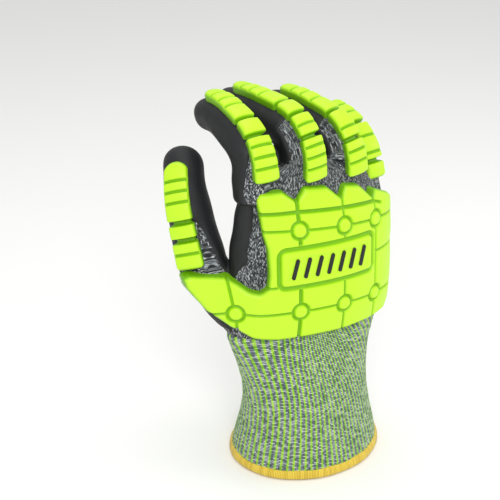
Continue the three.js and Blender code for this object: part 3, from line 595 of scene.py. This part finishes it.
hem_rings, hem_turn = hem_surface()
hem = add_object("overlock_hem", hem_rings, grid_faces(*hem_rings.shape[:2], around=True, along=True))
set_attribute(hem, "loop", "FLOAT", hem_turn)
print("hem faces:", len(hem.data.polygons))

# %% [markdown]
# ## Mouldings as relief
# The guards are thermoplastic rubber, moulded flat and bent round the hand. We do the
# same: on a flat sheet, distances to the outline, the grooves and the studs say how high
# the rubber stands. Then the sheet is wrapped on the back of the hand.

# %% Distances on the flat sheet


def to_polygon(p, corners):
    """Signed distance of flat points to a polygon: the nearest edge's distance, made
    negative inside, where a line to the right crosses the outline an odd number of times."""
    best = np.full(p.shape[:-1], np.inf)
    inside = np.zeros(p.shape[:-1], dtype=bool)
    for a, b in zip(corners, np.roll(corners, -1, axis=0)):
        edge = b - a
        t = np.clip(((p - a) @ edge) / (edge @ edge), 0, 1)
        best = np.minimum(best, np.linalg.norm(p - a - t[..., None] * edge, axis=-1))
        crosses = (a[1] > p[..., 1]) != (b[1] > p[..., 1])
        at = a[0] + (p[..., 1] - a[1]) * edge[0] / (edge[1] if edge[1] else 1e-9)
        inside ^= crosses & (p[..., 0] < at)
    return np.where(inside, -best, best)


def to_segments(p, segments):
    """Distance of flat points to the nearest of several straight segments."""
    best = np.full(p.shape[:-1], np.inf)
    for a, b in segments:
        a, b = np.array(a, dtype=float), np.array(b, dtype=float)
        t = np.clip(((p - a) @ (b - a)) / ((b - a) @ (b - a)), 0, 1)
        best = np.minimum(best, np.linalg.norm(p - a - t[..., None] * (b - a), axis=-1))
    return best


def to_box(p, low, high, corner):
    """Signed distance of flat points to a box with rounded corners."""
    middle = (np.array(low) + high) / 2
    q = np.abs(p - middle) - (np.array(high) - low) / 2 + corner
    outside = np.linalg.norm(np.maximum(q, 0), axis=-1)
    return outside + np.minimum(q.max(axis=-1), 0) - corner


def rounded(corners, radius):
    """A polygon whose corners are cut back and bridged by short parabolas."""
    corners = np.asarray(corners, dtype=float)
    before = np.roll(corners, 1, axis=0) - corners
    after = np.roll(corners, -1, axis=0) - corners
    back = np.linalg.norm(before, axis=1)
    ahead = np.linalg.norm(after, axis=1)
    cut = np.minimum(radius, 0.42 * np.minimum(back, ahead))
    a = corners + before * (cut / back)[:, None]
    b = corners + after * (cut / ahead)[:, None]
    t = np.linspace(0, 1, 5)[None, :, None]
    arc = (1 - t) ** 2 * a[:, None] + 2 * t * (1 - t) * corners[:, None] + t**2 * b[:, None]
    return arc.reshape(-1, 2)


def trench(distance, half, deep):
    """A groove: full depth over the middle third, then sloping walls up to the top."""
    return -deep * (1 - ease((distance - half / 3) / (half * 2 / 3)))


def relief_faces(shown):
    """Faces of a grid that touch at least one point that stands above the skin."""
    faces = grid_faces(*shown.shape)
    keep = shown.ravel()[faces].any(axis=1)
    return faces[keep]


def add_relief(name, points, height, uv, top):
    """A piece from a grid of wrapped points, cut off where the relief sinks away. Each
    point keeps its place on the sheet and how far it lies below the top of a block."""
    faces = relief_faces(height > -2.2)
    used = np.unique(faces)
    place = np.full(height.size, -1)
    place[used] = np.arange(len(used))
    piece = add_object(name, points.reshape(-1, 3)[used], place[faces])
    set_attribute(piece, "sheet", "FLOAT_VECTOR", np.concatenate(
        [uv.reshape(-1, 2)[used], height.reshape(-1, 1)[used] - top], axis=1))
    return piece


# %% [markdown]
# ## The guard on the back of the hand
# Its outline has a lobe for each knuckle and a wing over the base of the thumb. Grooves
# let it flex with the fingers, and each crossing has a round stud.

# %% Numbers of the guard
GUARD_HEIGHT = 4.3
BACK_LINE = np.array([
    [-76, 11.6], [-63, 6.8], [-51, 0.8], [-40.3, -9.9], [-19.8, -17.7], [6.3, -22.3],
    [27.7, -21.0], [41.5, -15.2], [48.5, -6.5], [50.0, 2.0],
])
BACK_SHIFT = np.array([
    [70, -1.6], [80, -1.9], [95, -3.6], [109, -3.2], [131, -2.3], [139, -1.9], [148, 0.3], [162, 2.8],
])
GUARD_OUTLINE = [
    [-48.3, 159.5], [-46.2, 162.4], [-34.0, 161.8], [-26.6, 155.6], [-21.6, 161.9], [-8.6, 160.4],
    [-1.0, 153.6], [2.0, 159.4], [11.6, 157.6], [21.0, 148.6], [23.4, 152.6], [35.0, 148.0],
    [45.5, 144.0], [48.5, 139.0], [49.0, 118.0], [47.5, 98.0], [42.0, 87.0], [33.0, 79.6],
    [0.0, 78.8], [-38.0, 79.6], [-52.0, 81.6], [-64.0, 87.5], [-77.0, 98.5], [-86.5, 112.0],
    [-88.0, 117.5], [-84.0, 118.8], [-66.0, 116.4], [-60.0, 112.6], [-54.5, 109.2], [-48.6, 108.2],
    [-44.6, 110.6], [-43.6, 118.0], [-44.4, 132.0], [-46.6, 139.4], [-47.2, 150.0],
]
WIDE_GROOVES = [([-52, 151.6], [21, 146.6]), ([-26.5, 158], [-26.5, 129]), ([-26.5, 111], [-26.5, 76])]
FINE_GROOVES = [
    ([21, 146.6], [27, 144.2]), ([-50, 142.0], [52, 135.4]), ([-92, 96.6], [50, 94.6]),
    ([-0.6, 156], [-0.6, 129]), ([21.2, 151], [21.2, 78]), ([-0.6, 111], [-0.6, 76]),
    ([-66, 118], [-58.5, 76]), ([-48, 110.8], [-38, 110.8]), ([21.2, 119], [52, 119]),
]
STUDS = [[-26.5, 140.4], [-0.6, 138.8], [21.2, 137.3], [-61.6, 96], [-26.5, 95.6], [-0.6, 95.2], [21.2, 95.0]]
PLATE_LOW = (-38.4, 109.6)
PLATE_HIGH = (18.6, 131.2)


def back_frame():
    """The line across the back as evenly spaced points with their outward normals."""
    dense = smooth_line(BACK_LINE, 1200)
    run = np.concatenate([[0], np.cumsum(np.linalg.norm(np.diff(dense, axis=0), axis=1))])
    zero = run[np.abs(dense[:, 0] - BACK_LINE[5, 0]).argmin()]
    step = np.gradient(dense, axis=0)
    step /= np.linalg.norm(step, axis=1)[:, None]
    return run - zero, dense, np.stack([step[:, 1], -step[:, 0]], axis=1)


BACK_RUN, BACK_POINTS, BACK_NORMALS = back_frame()


def wrap_back(flat, height):
    """Flat points bent round the back of the hand: along the line, then out by height."""
    u, z = flat[..., 0], flat[..., 1]
    x, y, nx, ny = (
        np.interp(u, BACK_RUN, column)
        for column in (*BACK_POINTS.T, *BACK_NORMALS.T)
    )
    y = y + np.interp(z, BACK_SHIFT[:, 0], BACK_SHIFT[:, 1])
    out = height - GUARD_HEIGHT + 2.4 * ease((-u - 24) / 18) * ease((z - 142) / 14)
    return np.stack([x + nx * out, y + ny * out, z], axis=-1)


# %% Relief of the guard


def guard_height(flat):
    """Height of the rubber: full inside the outline with a chamfered wall, less the
    grooves, with a ring and a dome at each stud and a raised plate in the middle."""
    edge = to_polygon(flat, rounded(GUARD_OUTLINE, 1.3))
    full = GUARD_HEIGHT
    height = np.interp(edge, [-2.2, -1.6, -0.35, 0.35], [full, full - 0.15, full - 1.5, -4.0])
    wide = to_segments(flat, WIDE_GROOVES)
    fine = to_segments(flat, FINE_GROOVES)
    grooves = np.minimum(trench(wide, 1.5, 1.9), trench(fine, 1.05, 1.5))
    crown = 0.25 * ease((np.minimum(wide, fine) - 1.0) / 6.0)
    plate = to_box(flat, PLATE_LOW, PLATE_HIGH, 3.8)
    grooves = np.where(plate < 1.2, 0, grooves)
    height = height + np.where(height > 0, grooves, 0) + np.where(edge < -2, crown, 0)
    steps = np.array([0.75, 0.35, -1.7, -1.7, -1.5, 0.0])
    band = np.interp(plate, [-2.6, -1.9, -1.0, 0.0, 0.7, 1.5], full + steps)
    inner = np.interp(plate, [-5.2, -4.5], [full + 0.35, full + 0.75])
    height = np.where(plate < 1.4, np.minimum(np.maximum(band, 0), np.where(plate < -4.4, inner, 99)), height)
    for u, z in STUDS:
        r = np.hypot(flat[..., 0] - u, flat[..., 1] - z)
        moat = np.interp(r, [3.3, 3.9, 4.7, 5.6], [0.0, -1.7, -1.7, 0.0])
        dome = np.interp(r, [1.5, 1.9, 2.7, 3.5], [0.35, 0.5, 0.35, -0.5])
        height = np.where(r < 5.6, np.minimum(height, full + moat), height)
        height = np.where(r < 3.5, np.where(edge < 0, full + dome, height), height)
    return height


pitch = 0.4
u_line = np.arange(-90.5, 51.5, pitch)
z_line = np.arange(76.5, 165, pitch)
flat = np.stack(np.meshgrid(u_line, z_line), axis=-1)
height = guard_height(flat)
guard = add_relief("back_of_hand_guard", wrap_back(flat, height), height, flat, GUARD_HEIGHT)
print("guard faces:", len(guard.data.polygons))

# %% [markdown]
# ## Bars on the panel
# The raised panel has a second shot of black rubber on it. Here that is a row of plain
# slanted bars, poured as one thin layer with rounded ends.

# %% Row of bars
BAR_COUNT = 7
BAR_PITCH = 6.6
BAR_SLANT = 2.4
BAR_HALF = 1.25
BAR_TALL = 11.4
BAR_RISE = 0.45
PANEL_RISE = 0.75


def bar_height(flat):
    """A flat top at each bar: the distance to its middle line, less half its width,
    says where it falls away to below the face of the panel."""
    middle_u = (PLATE_LOW[0] + PLATE_HIGH[0]) / 2
    middle_z = (PLATE_LOW[1] + PLATE_HIGH[1]) / 2
    reach = BAR_TALL / 2 - BAR_HALF
    places = middle_u + BAR_PITCH * (np.arange(BAR_COUNT) - (BAR_COUNT - 1) / 2)
    lean = BAR_SLANT / 2
    lines = [([u - lean, middle_z - reach], [u + lean, middle_z + reach]) for u in places]
    edge = to_segments(flat, lines) - BAR_HALF
    return np.interp(edge, [-0.3, 0.1], [BAR_RISE, -2.6])


bar_u = np.arange(PLATE_LOW[0] + 4, PLATE_HIGH[0] - 4, 0.25)
bar_z = np.arange(PLATE_LOW[1] + 3, PLATE_HIGH[1] - 3, 0.25)
bar_flat = np.stack(np.meshgrid(bar_u, bar_z), axis=-1)
bars_up = bar_height(bar_flat)
bar_points = wrap_back(bar_flat, bars_up + GUARD_HEIGHT + PANEL_RISE)
bars = add_relief("panel_bars", bar_points, bars_up, bar_flat, BAR_RISE)
print("bar faces:", len(bars.data.polygons))

# %% [markdown]
# ## Strips along the fingers
# The same rubber, in blocks parted by grooves so that it bends with the joints: the deep
# notches lie at the knuckles, the fine lines between them. Each strip is a flat relief
# carried along the top of its finger and bent a little round it.

# %% Finger strips
STRIP_HEIGHT = 5.0
STRIPS = {
    "index": (49.3, 16.8, 12.3, [7.8, 13.8, 19.9, 49.3, 55.9, 63.2], [26.1, 37.7]),
    "middle": (64.8, 15.0, 11.3, [8, 14.1, 19.9, 32.4, 66.3, 73.8, 81.1], [25.5, 40.2, 52.6]),
    "ring": (55.5, 14.3, 10.5, [8.4, 14.5, 28, 54.2, 62.2, 69.5], [21.1, 40.6]),
    "little": (40.0, 14.3, 10.0, [14.7, 24.3, 41.7, 49], [9.9, 33.7]),
    "thumb": (49.8, 17.1, 14.7, [8.2, 35, 40.7, 46.4], [15.1, 24.3]),
}


def strip_piece(name):
    """Relief over (distance along the top, distance across): a long box with rounded
    ends, pinched at the notches, its grooves fading before the sides. Then each point is
    carried to the finger: along its centre line, up its radius and height, and round a
    circle a little flatter than the finger. Lengths run along the top of the strip."""
    end, base_width, tip_width, fine, notches = STRIPS[name]
    line = LINES[name]
    top = line["at"] + line["up"] * (line["radius"] + STRIP_HEIGHT)[:, None]
    run = np.concatenate([[0], np.cumsum(np.linalg.norm(np.diff(top, axis=0), axis=1))])
    length = np.interp(end, line["s"], run)
    a = np.arange(-1.0, length + 1.2, 0.33)
    w = np.arange(-base_width / 2 - 0.9, base_width / 2 + 1.0, 0.33)
    a, w = np.meshgrid(a, w, indexing="ij")
    share = np.clip(a / length, 0, 1)
    half = (base_width + (tip_width - base_width) * share) / 2
    notch = np.min([np.abs(a - n) for n in notches], axis=0)
    half = half - 1.3 * (1 - ease(notch / 1.5))
    corner = 2.2 + (half - 2.6) * ease((share - 0.8) / 0.2)
    q = np.stack([np.abs(a - length / 2) - length / 2 + corner, np.abs(w) - half + corner], axis=-1)
    edge = np.linalg.norm(np.maximum(q, 0), axis=-1) + np.minimum(q.max(axis=-1), 0) - corner
    full = STRIP_HEIGHT - 0.5 * ease((share - 0.75) / 0.25)
    height = full + np.interp(edge, [-1.9, -1.4, -0.3, 0.3], [0, -0.12, -1.3, -9.0])
    line_gap = np.min([np.abs(a + 0.004 * w**2 - n) for n in fine], axis=0)
    soft = trench(line_gap, 1.15, 1.6) * ease((half - 0.7 - np.abs(w)) / 0.8)
    deep = trench(notch, 1.8, 3.4)
    height = height + np.where(height > -1, np.minimum(soft, deep), 0)
    near = np.minimum(line_gap, notch)
    height = height + np.where(edge < -2, 0.22 * ease((near - 0.8) / 3.5), 0)
    s = np.interp(a, run, line["s"])
    at, up, across = (
        np.stack([np.interp(s, line["s"], line[key][:, k]) for k in range(3)], axis=-1)
        for key in ("at", "up", "across")
    )
    radius = np.interp(s, line["s"], line["radius"])
    round_ = radius + 5.0
    turn = w / (round_ + STRIP_HEIGHT)
    lift = radius - round_ + (round_ + height) * np.cos(turn)
    aside = (round_ + height) * np.sin(turn)
    points = at + up * lift[..., None] + across * aside[..., None]
    return add_relief(f"{name}_strip", points, height + 2.0, np.stack([a, w], axis=-1), STRIP_HEIGHT + 2.0)


strips = {name: strip_piece(name) for name in STRIPS}
print("strip faces:", {name: len(piece.data.polygons) for name, piece in strips.items()})

# %% [markdown]
# ## Colour and the helper for nodes
# Paint and dye are measured as hex codes, so we keep those and turn them into linear
# light in one place. Materials are built from nodes, so a small helper adds one node,
# sets its options and inputs, and links whatever is given as a socket.

# %% Helpers for materials


def rgb(code):
    """Linear colour with alpha from a hex code."""
    parts = np.array([int(code[k:k + 2], 16) for k in (1, 3, 5)]) / 255
    linear = np.where(parts <= 0.04045, parts / 12.92, ((parts + 0.055) / 1.055) ** 2.4)
    return (*linear.tolist(), 1.0)


def add_node(tree, kind, inputs=(), **options):
    """Adds one node, sets its options, and sets or links its inputs by name or number."""
    node = tree.nodes.new(kind)
    for key, value in options.items():
        setattr(node, key, value)
    for key, value in dict(inputs).items():
        if isinstance(value, bpy.types.NodeSocket):
            tree.links.new(value, node.inputs[key])
        else:
            node.inputs[key].default_value = value
    return node


def new_material(name, **settings):
    """A material with its shader, the shader's plain values set straight on it."""
    material = bpy.data.materials.new(name)
    material.use_nodes = True
    shader = material.node_tree.nodes["Principled BSDF"]
    for key, value in settings.items():
        shader.inputs[key.replace("_", " ")].default_value = value
    return material, material.node_tree, shader

# %% [markdown]
# ## Melange jersey
# The liner is knitted from a yarn spun of dark, grey and white fibres, so each loop has
# its own shade. A loop is a V of two legs. We fold the map into Vs, give each leg a random
# shade, raise the middle of each leg a little, and darken the hollows between the legs as
# painted shade.

# %% Melange knit


def math_node(tree, operation, first, second=0.0, third=0.0):
    """One sum on one or more values, as a node whose value can be linked on."""
    return add_node(tree, "ShaderNodeMath", {0: first, 1: second, 2: third}, operation=operation).outputs[0]


def colour_steps(tree, value, stops):
    """A ramp of hex colours at the given places."""
    ramp = add_node(tree, "ShaderNodeValToRGB", {0: value})
    ramp.color_ramp.elements.remove(ramp.color_ramp.elements[1])
    ramp.color_ramp.elements[0].position = stops[0][0]
    ramp.color_ramp.elements[0].color = rgb(stops[0][1])
    for place, code in stops[1:]:
        ramp.color_ramp.elements.new(place).color = rgb(code)
    return ramp.outputs[0]


def add_bump(tree, shader, height, millimetres):
    """Relief without geometry: a value from 0 to 1 times a real height."""
    bump = add_node(tree, "ShaderNodeBump", {"Height": height, "Distance": millimetres * MM, "Strength": 1.0})
    tree.links.new(bump.outputs[0], shader.inputs["Normal"])


def melange_knit():
    """Dark, grey and white legs of stitches, 0.95 mm to a wale and 0.8 mm to a course, with painted shade
    darkening the hollows between the legs.
    """
    material, tree, shader = new_material("melange_jersey_knit", Roughness=0.92, Specular_IOR_Level=0.2)
    shader.inputs["Sheen Weight"].default_value = 0.25
    uv = add_node(tree, "ShaderNodeUVMap", uv_map="threads")
    place = add_node(tree, "ShaderNodeSeparateXYZ", {0: uv.outputs[0]})
    wale = math_node(tree, "DIVIDE", place.outputs["X"], 0.95)
    course = math_node(tree, "DIVIDE", place.outputs["Y"], 0.8)
    fold = math_node(tree, "PINGPONG", wale, 0.5)
    leg_run = math_node(tree, "MULTIPLY_ADD", fold, 1.5, course)
    leg = math_node(tree, "FLOOR", math_node(tree, "MULTIPLY", wale, 2.0))
    stitch = math_node(tree, "FLOOR", leg_run)
    key = add_node(tree, "ShaderNodeCombineXYZ", {0: leg, 1: stitch})
    shade = add_node(tree, "ShaderNodeTexWhiteNoise", {0: key.outputs[0]}, noise_dimensions="2D")
    colour = colour_steps(tree, shade.outputs["Value"], [
        (0.0, "#17191c"), (0.42, "#2b2e32"), (0.52, "#585c61"), (0.72, "#787d83"), (0.82, "#b4b8bd"),
        (1.0, "#dfe2e5"),
    ])
    across = math_node(tree, "PINGPONG", math_node(tree, "MULTIPLY", wale, 2.0), 0.5)
    along = math_node(tree, "PINGPONG", leg_run, 0.5)
    crown = math_node(tree, "MULTIPLY", math_node(tree, "MULTIPLY", across, along), 12.0)
    gap = math_node(tree, "SMOOTH_MIN", crown, 1.0, 0.2)
    # painted shade: the hollows between the legs, low in the bump, are darkened toward near black
    painted_recess_shade = add_node(tree, "ShaderNodeMix", {
        0: math_node(tree, "MULTIPLY_ADD", gap, 0.55, 0.45), 6: rgb("#101114"), 7: colour,
    }, data_type="RGBA")
    tree.links.new(painted_recess_shade.outputs[2], shader.inputs["Base Color"])
    add_bump(tree, shader, gap, 0.25)
    return material


# %% [markdown]
# ## Sandy nitrile
# The palm dip is a foam with a sandy skin: matt black with a faint grain, which spreads
# the light of the studio into wide grey sheens. The grain is a fine noise, a fifth of a
# millimetre across, over a softer one that varies the sheen.

# %% Sandy nitrile coating


def sandy_nitrile():
    """Near black with a grain in the relief and in the roughness."""
    material, tree, shader = new_material("sandy_nitrile_foam", Specular_IOR_Level=0.42)
    place = add_node(tree, "ShaderNodeTexCoord").outputs["Object"]
    grain = add_node(tree, "ShaderNodeTexNoise", {"Vector": place, "Scale": 2600.0, "Detail": 3.0})
    cloud = add_node(tree, "ShaderNodeTexNoise", {"Vector": place, "Scale": 160.0, "Detail": 4.0})
    colour = colour_steps(tree, grain.outputs[0], [(0.3, "#101113"), (0.62, "#191a1c"), (0.75, "#2a2c2f")])
    rough = add_node(tree, "ShaderNodeMapRange", {0: cloud.outputs[0], 1: 0.3, 2: 0.7, 3: 0.5, 4: 0.68})
    tree.links.new(colour, shader.inputs["Base Color"])
    tree.links.new(rough.outputs[0], shader.inputs["Roughness"])
    add_bump(tree, shader, grain.outputs[0], 0.14)
    return material


# %% [markdown]
# ## Moulded rubber
# Safety rubber is dyed so strongly that light which bounces in a groove comes out greener
# each time. The relief left its height on each point, so we paint that shade into the colour:
# a darker, deeper green down the walls as painted shade, with the tops kept bright.

# %% Moulded guard


def moulded_rubber():
    """Bright yellow green on top, painted shade of deeper green down the walls and in the grooves, softly
    glossy.
    """
    material, tree, shader = new_material(
        "moulded_thermoplastic_rubber", Roughness=0.42, Specular_IOR_Level=0.35
    )
    shader.inputs["Subsurface Weight"].default_value = 0.12
    shader.inputs["Subsurface Radius"].default_value = (0.002, 0.003, 0.0008)
    shader.inputs["Subsurface Scale"].default_value = 1.0
    sheet = add_node(tree, "ShaderNodeAttribute", attribute_name="sheet")
    level = add_node(tree, "ShaderNodeSeparateXYZ", {0: sheet.outputs["Vector"]}).outputs["Z"]
    # painted shade: the colour darkens to deep green as the rubber sinks below its top
    painted_groove_shade = add_node(tree, "ShaderNodeMapRange", {0: level, 1: -2.2, 2: 0.0, 3: 0.0, 4: 1.0})
    colour = colour_steps(tree, painted_groove_shade.outputs[0], [
        (0.0, "#6eaa08"), (0.3, "#7ebc0a"), (0.62, "#a0d616"), (0.85, "#b6e624"), (1.0, "#bcea28"),
    ])
    tree.links.new(colour, shader.inputs["Base Color"])
    place = add_node(tree, "ShaderNodeTexCoord").outputs["Object"]
    skin = add_node(tree, "ShaderNodeTexNoise", {"Vector": place, "Scale": 900.0, "Detail": 2.0})
    add_bump(tree, shader, skin.outputs[0], 0.03)
    return material


# %% [markdown]
# ## Plated rib
# The cuff is knitted with two yarns at once: a lime one that shows on the raised wales,
# and a grey one with white elastic behind it that shows in the valleys as small rungs.

# %% Rib knit


def rib_knit():
    """Lime on the crest of each wale, blue grey between, a rung each 0.87 mm, shades
    that change from stitch to stitch, and painted shade darkening the dips between the courses."""
    material, tree, shader = new_material("plated_rib_knit", Roughness=0.9, Specular_IOR_Level=0.2)
    shader.inputs["Sheen Weight"].default_value = 0.2
    wale = add_node(tree, "ShaderNodeAttribute", attribute_name="wale").outputs["Fac"]
    high = add_node(tree, "ShaderNodeAttribute", attribute_name="course").outputs["Fac"]
    course = math_node(tree, "DIVIDE", high, 0.87)
    cell = add_node(tree, "ShaderNodeCombineXYZ", {
        0: math_node(tree, "FLOOR", math_node(tree, "MULTIPLY", wale, 2.0)),
        1: math_node(tree, "FLOOR", course),
    })
    noise = add_node(tree, "ShaderNodeTexWhiteNoise", {0: cell.outputs[0]}, noise_dimensions="2D")
    shade = noise.outputs["Value"]
    rung = math_node(tree, "MULTIPLY", math_node(tree, "PINGPONG", course, 0.5), 2.0)
    lime = colour_steps(tree, shade, [(0.0, "#6fae22"), (0.5, "#a2dd40"), (1.0, "#c6f065")])
    rungs = math_node(tree, "MULTIPLY_ADD", shade, 0.45, math_node(tree, "MULTIPLY", rung, 0.55))
    grey = colour_steps(tree, rungs, [
        (0.1, "#23272c"), (0.35, "#545c66"), (0.6, "#848e9a"), (0.9, "#dde2e6"),
    ])
    turn = math_node(tree, "PINGPONG", math_node(tree, "ADD", wale, 0.5), 0.5)
    on_lime = add_node(tree, "ShaderNodeMapRange", {0: turn, 1: 0.27, 2: 0.33, 3: 0.0, 4: 1.0}).outputs[0]
    mixed = add_node(tree, "ShaderNodeMix", {0: on_lime, 6: grey, 7: lime}, data_type="RGBA")
    # painted shade: the dips between the courses, low in the bump, are darkened toward dark olive
    painted_recess_shade = add_node(tree, "ShaderNodeMix", {
        0: math_node(tree, "MULTIPLY_ADD", rung, 0.5, 0.55), 6: rgb("#20251a"), 7: mixed.outputs[2],
    }, data_type="RGBA", clamp_factor=True)
    tree.links.new(painted_recess_shade.outputs[2], shader.inputs["Base Color"])
    add_bump(tree, shader, rung, 0.2)
    return material


# %% [markdown]
# ## Overlock thread
# Bulky polyester in golden yellow, with a random tone for each loop. Each strand gets a painted highlight on
# its crown and a dark line of painted shade beside it.

# %% Overlock thread


def overlock_thread():
    """Golden yellow with a random tone per loop, a paler painted highlight on the crown of each strand and
    brown painted shade between the strands.
    """
    material, tree, shader = new_material("overlock_polyester_thread", Roughness=0.7, Specular_IOR_Level=0.3)
    shader.inputs["Sheen Weight"].default_value = 0.2
    loop = add_node(tree, "ShaderNodeAttribute", attribute_name="loop").outputs["Fac"]
    strand = math_node(tree, "MULTIPLY", math_node(tree, "PINGPONG", loop, 0.5), 2.0)
    number = math_node(tree, "FLOOR", loop)
    shade = add_node(tree, "ShaderNodeTexWhiteNoise", {1: number}, noise_dimensions="1D").outputs["Value"]
    # painted highlight and shade: colour runs from brown between the strands to pale yellow on each crown,
    # over a random tone per loop
    value = math_node(tree, "MULTIPLY_ADD", shade, 0.3, math_node(tree, "MULTIPLY", strand, 0.7))
    colour = colour_steps(tree, value, [(0.05, "#a8821c"), (0.35, "#d6b534"), (0.8, "#ecd257")])
    tree.links.new(colour, shader.inputs["Base Color"])
    add_bump(tree, shader, strand, 0.15)
    return material


FINISH = {
    "melange_knit": melange_knit(),
    "sandy_coating": sandy_nitrile(),
    "moulded_guard": moulded_rubber(),
    "rib_knit": rib_knit(),
    "overlock_thread": overlock_thread(),
}
print("finishes:", [material.name for material in FINISH.values()])

# %% [markdown]
# ## The set
# A pale floor, a white surround and soft lamps, as in a catalogue picture. The lens, the
# distance and the height follow from the edges of the raised panel and from the studs.

# %% Floor, lamps and camera
FLOOR_HALF = 1500
floor_points = FLOOR_HALF * np.array([[-1, -1, 0], [1, -1, 0], [1, 1, 0], [-1, 1, 0]]) + [0, 0, -0.5]
floor = add_object("floor", floor_points, [[0, 1, 2, 3]], smooth=False)
floor_paint, _, _ = new_material("studio_paper", Base_Color=rgb("#f4f4f2"), Roughness=0.9)
floor.data.materials.append(floor_paint)
floor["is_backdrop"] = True

world = bpy.data.worlds.new("soft_white_room")
world.use_nodes = True
world.node_tree.nodes["Background"].inputs["Color"].default_value = rgb("#ffffff")
world.node_tree.nodes["Background"].inputs["Strength"].default_value = 0.7
bpy.context.scene.world = world

LAMPS = {
    "key_softbox": ((-450, -650, 700), (0, 0, 120), 420, 4.6),
    "fill_softbox": ((650, -450, 380), (0, 0, 120), 500, 1.4),
    "top_softbox": ((0, 150, 900), (0, 0, 120), 600, 2.2),
}
for name, (place, target, size, power) in LAMPS.items():
    light = bpy.data.lights.new(name, "AREA")
    light.size = size * MM
    light.energy = power
    lamp = bpy.data.objects.new(name, light)
    lamp.location = Vector(place) * MM
    lamp.rotation_euler = (Vector(target) - Vector(place)).to_track_quat("-Z", "Y").to_euler()
    bpy.context.scene.collection.objects.link(lamp)

lens = bpy.data.cameras.new("camera")
lens.lens = 91.1
lens.sensor_width = 36.0
camera = bpy.data.objects.new("camera", lens)
bpy.context.scene.collection.objects.link(camera)
target = Vector((-24.7, 17.7, 118.1)) * MM
azimuth, elevation, distance = math.radians(-35.56), math.radians(24.08), 670.64 * MM
away = Vector((
    math.sin(azimuth) * math.cos(elevation), -math.cos(azimuth) * math.cos(elevation), math.sin(elevation),
))
camera.location = target + away * distance
camera.rotation_euler = (-away).to_track_quat("-Z", "Y").to_euler()
bpy.context.scene.camera = camera
bpy.context.scene.view_settings.view_transform = "Standard"
print("camera at", [round(v, 3) for v in camera.location])

# %% [markdown]
# ## Hand the pieces over
# Each piece stands in for solids of the frame and takes its finish from one of the five
# materials in the record. The hand form was only a mould, so it goes.

# %% Bodies, slots and size
mould = form.data
bpy.data.objects.remove(form)
bpy.data.meshes.remove(mould)
STALLS = [f"{name}_stall" for name in (*FINGER_TABLE, "thumb")]
GUARDS = {f"{name}_strip": [f"{name}_guard"] for name in STRIPS}
PARTS = {
    "knit_liner": (liner, ["hand_body", *STALLS], "melange_knit"),
    "palm_coat": (coat, ["palm_coating"], "sandy_coating"),
    "rib_knit_cuff": (cuff, ["rib_cuff"], "rib_knit"),
    "overlock_hem": (hem, ["hem_band"], "overlock_thread"),
    "back_of_hand_guard": (guard, ["back_guard"], "moulded_guard"),
    "panel_bars": (bars, [], "sandy_coating"),
}
for name, piece in strips.items():
    PARTS[piece.name] = (piece, GUARDS[piece.name], "moulded_guard")
for piece, nodes, slot in PARTS.values():
    piece.data.materials.append(FINISH[slot])
    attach(piece, "root")
    if nodes:
        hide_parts(*nodes)

size = {"cad": cad_box, "scene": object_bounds()}
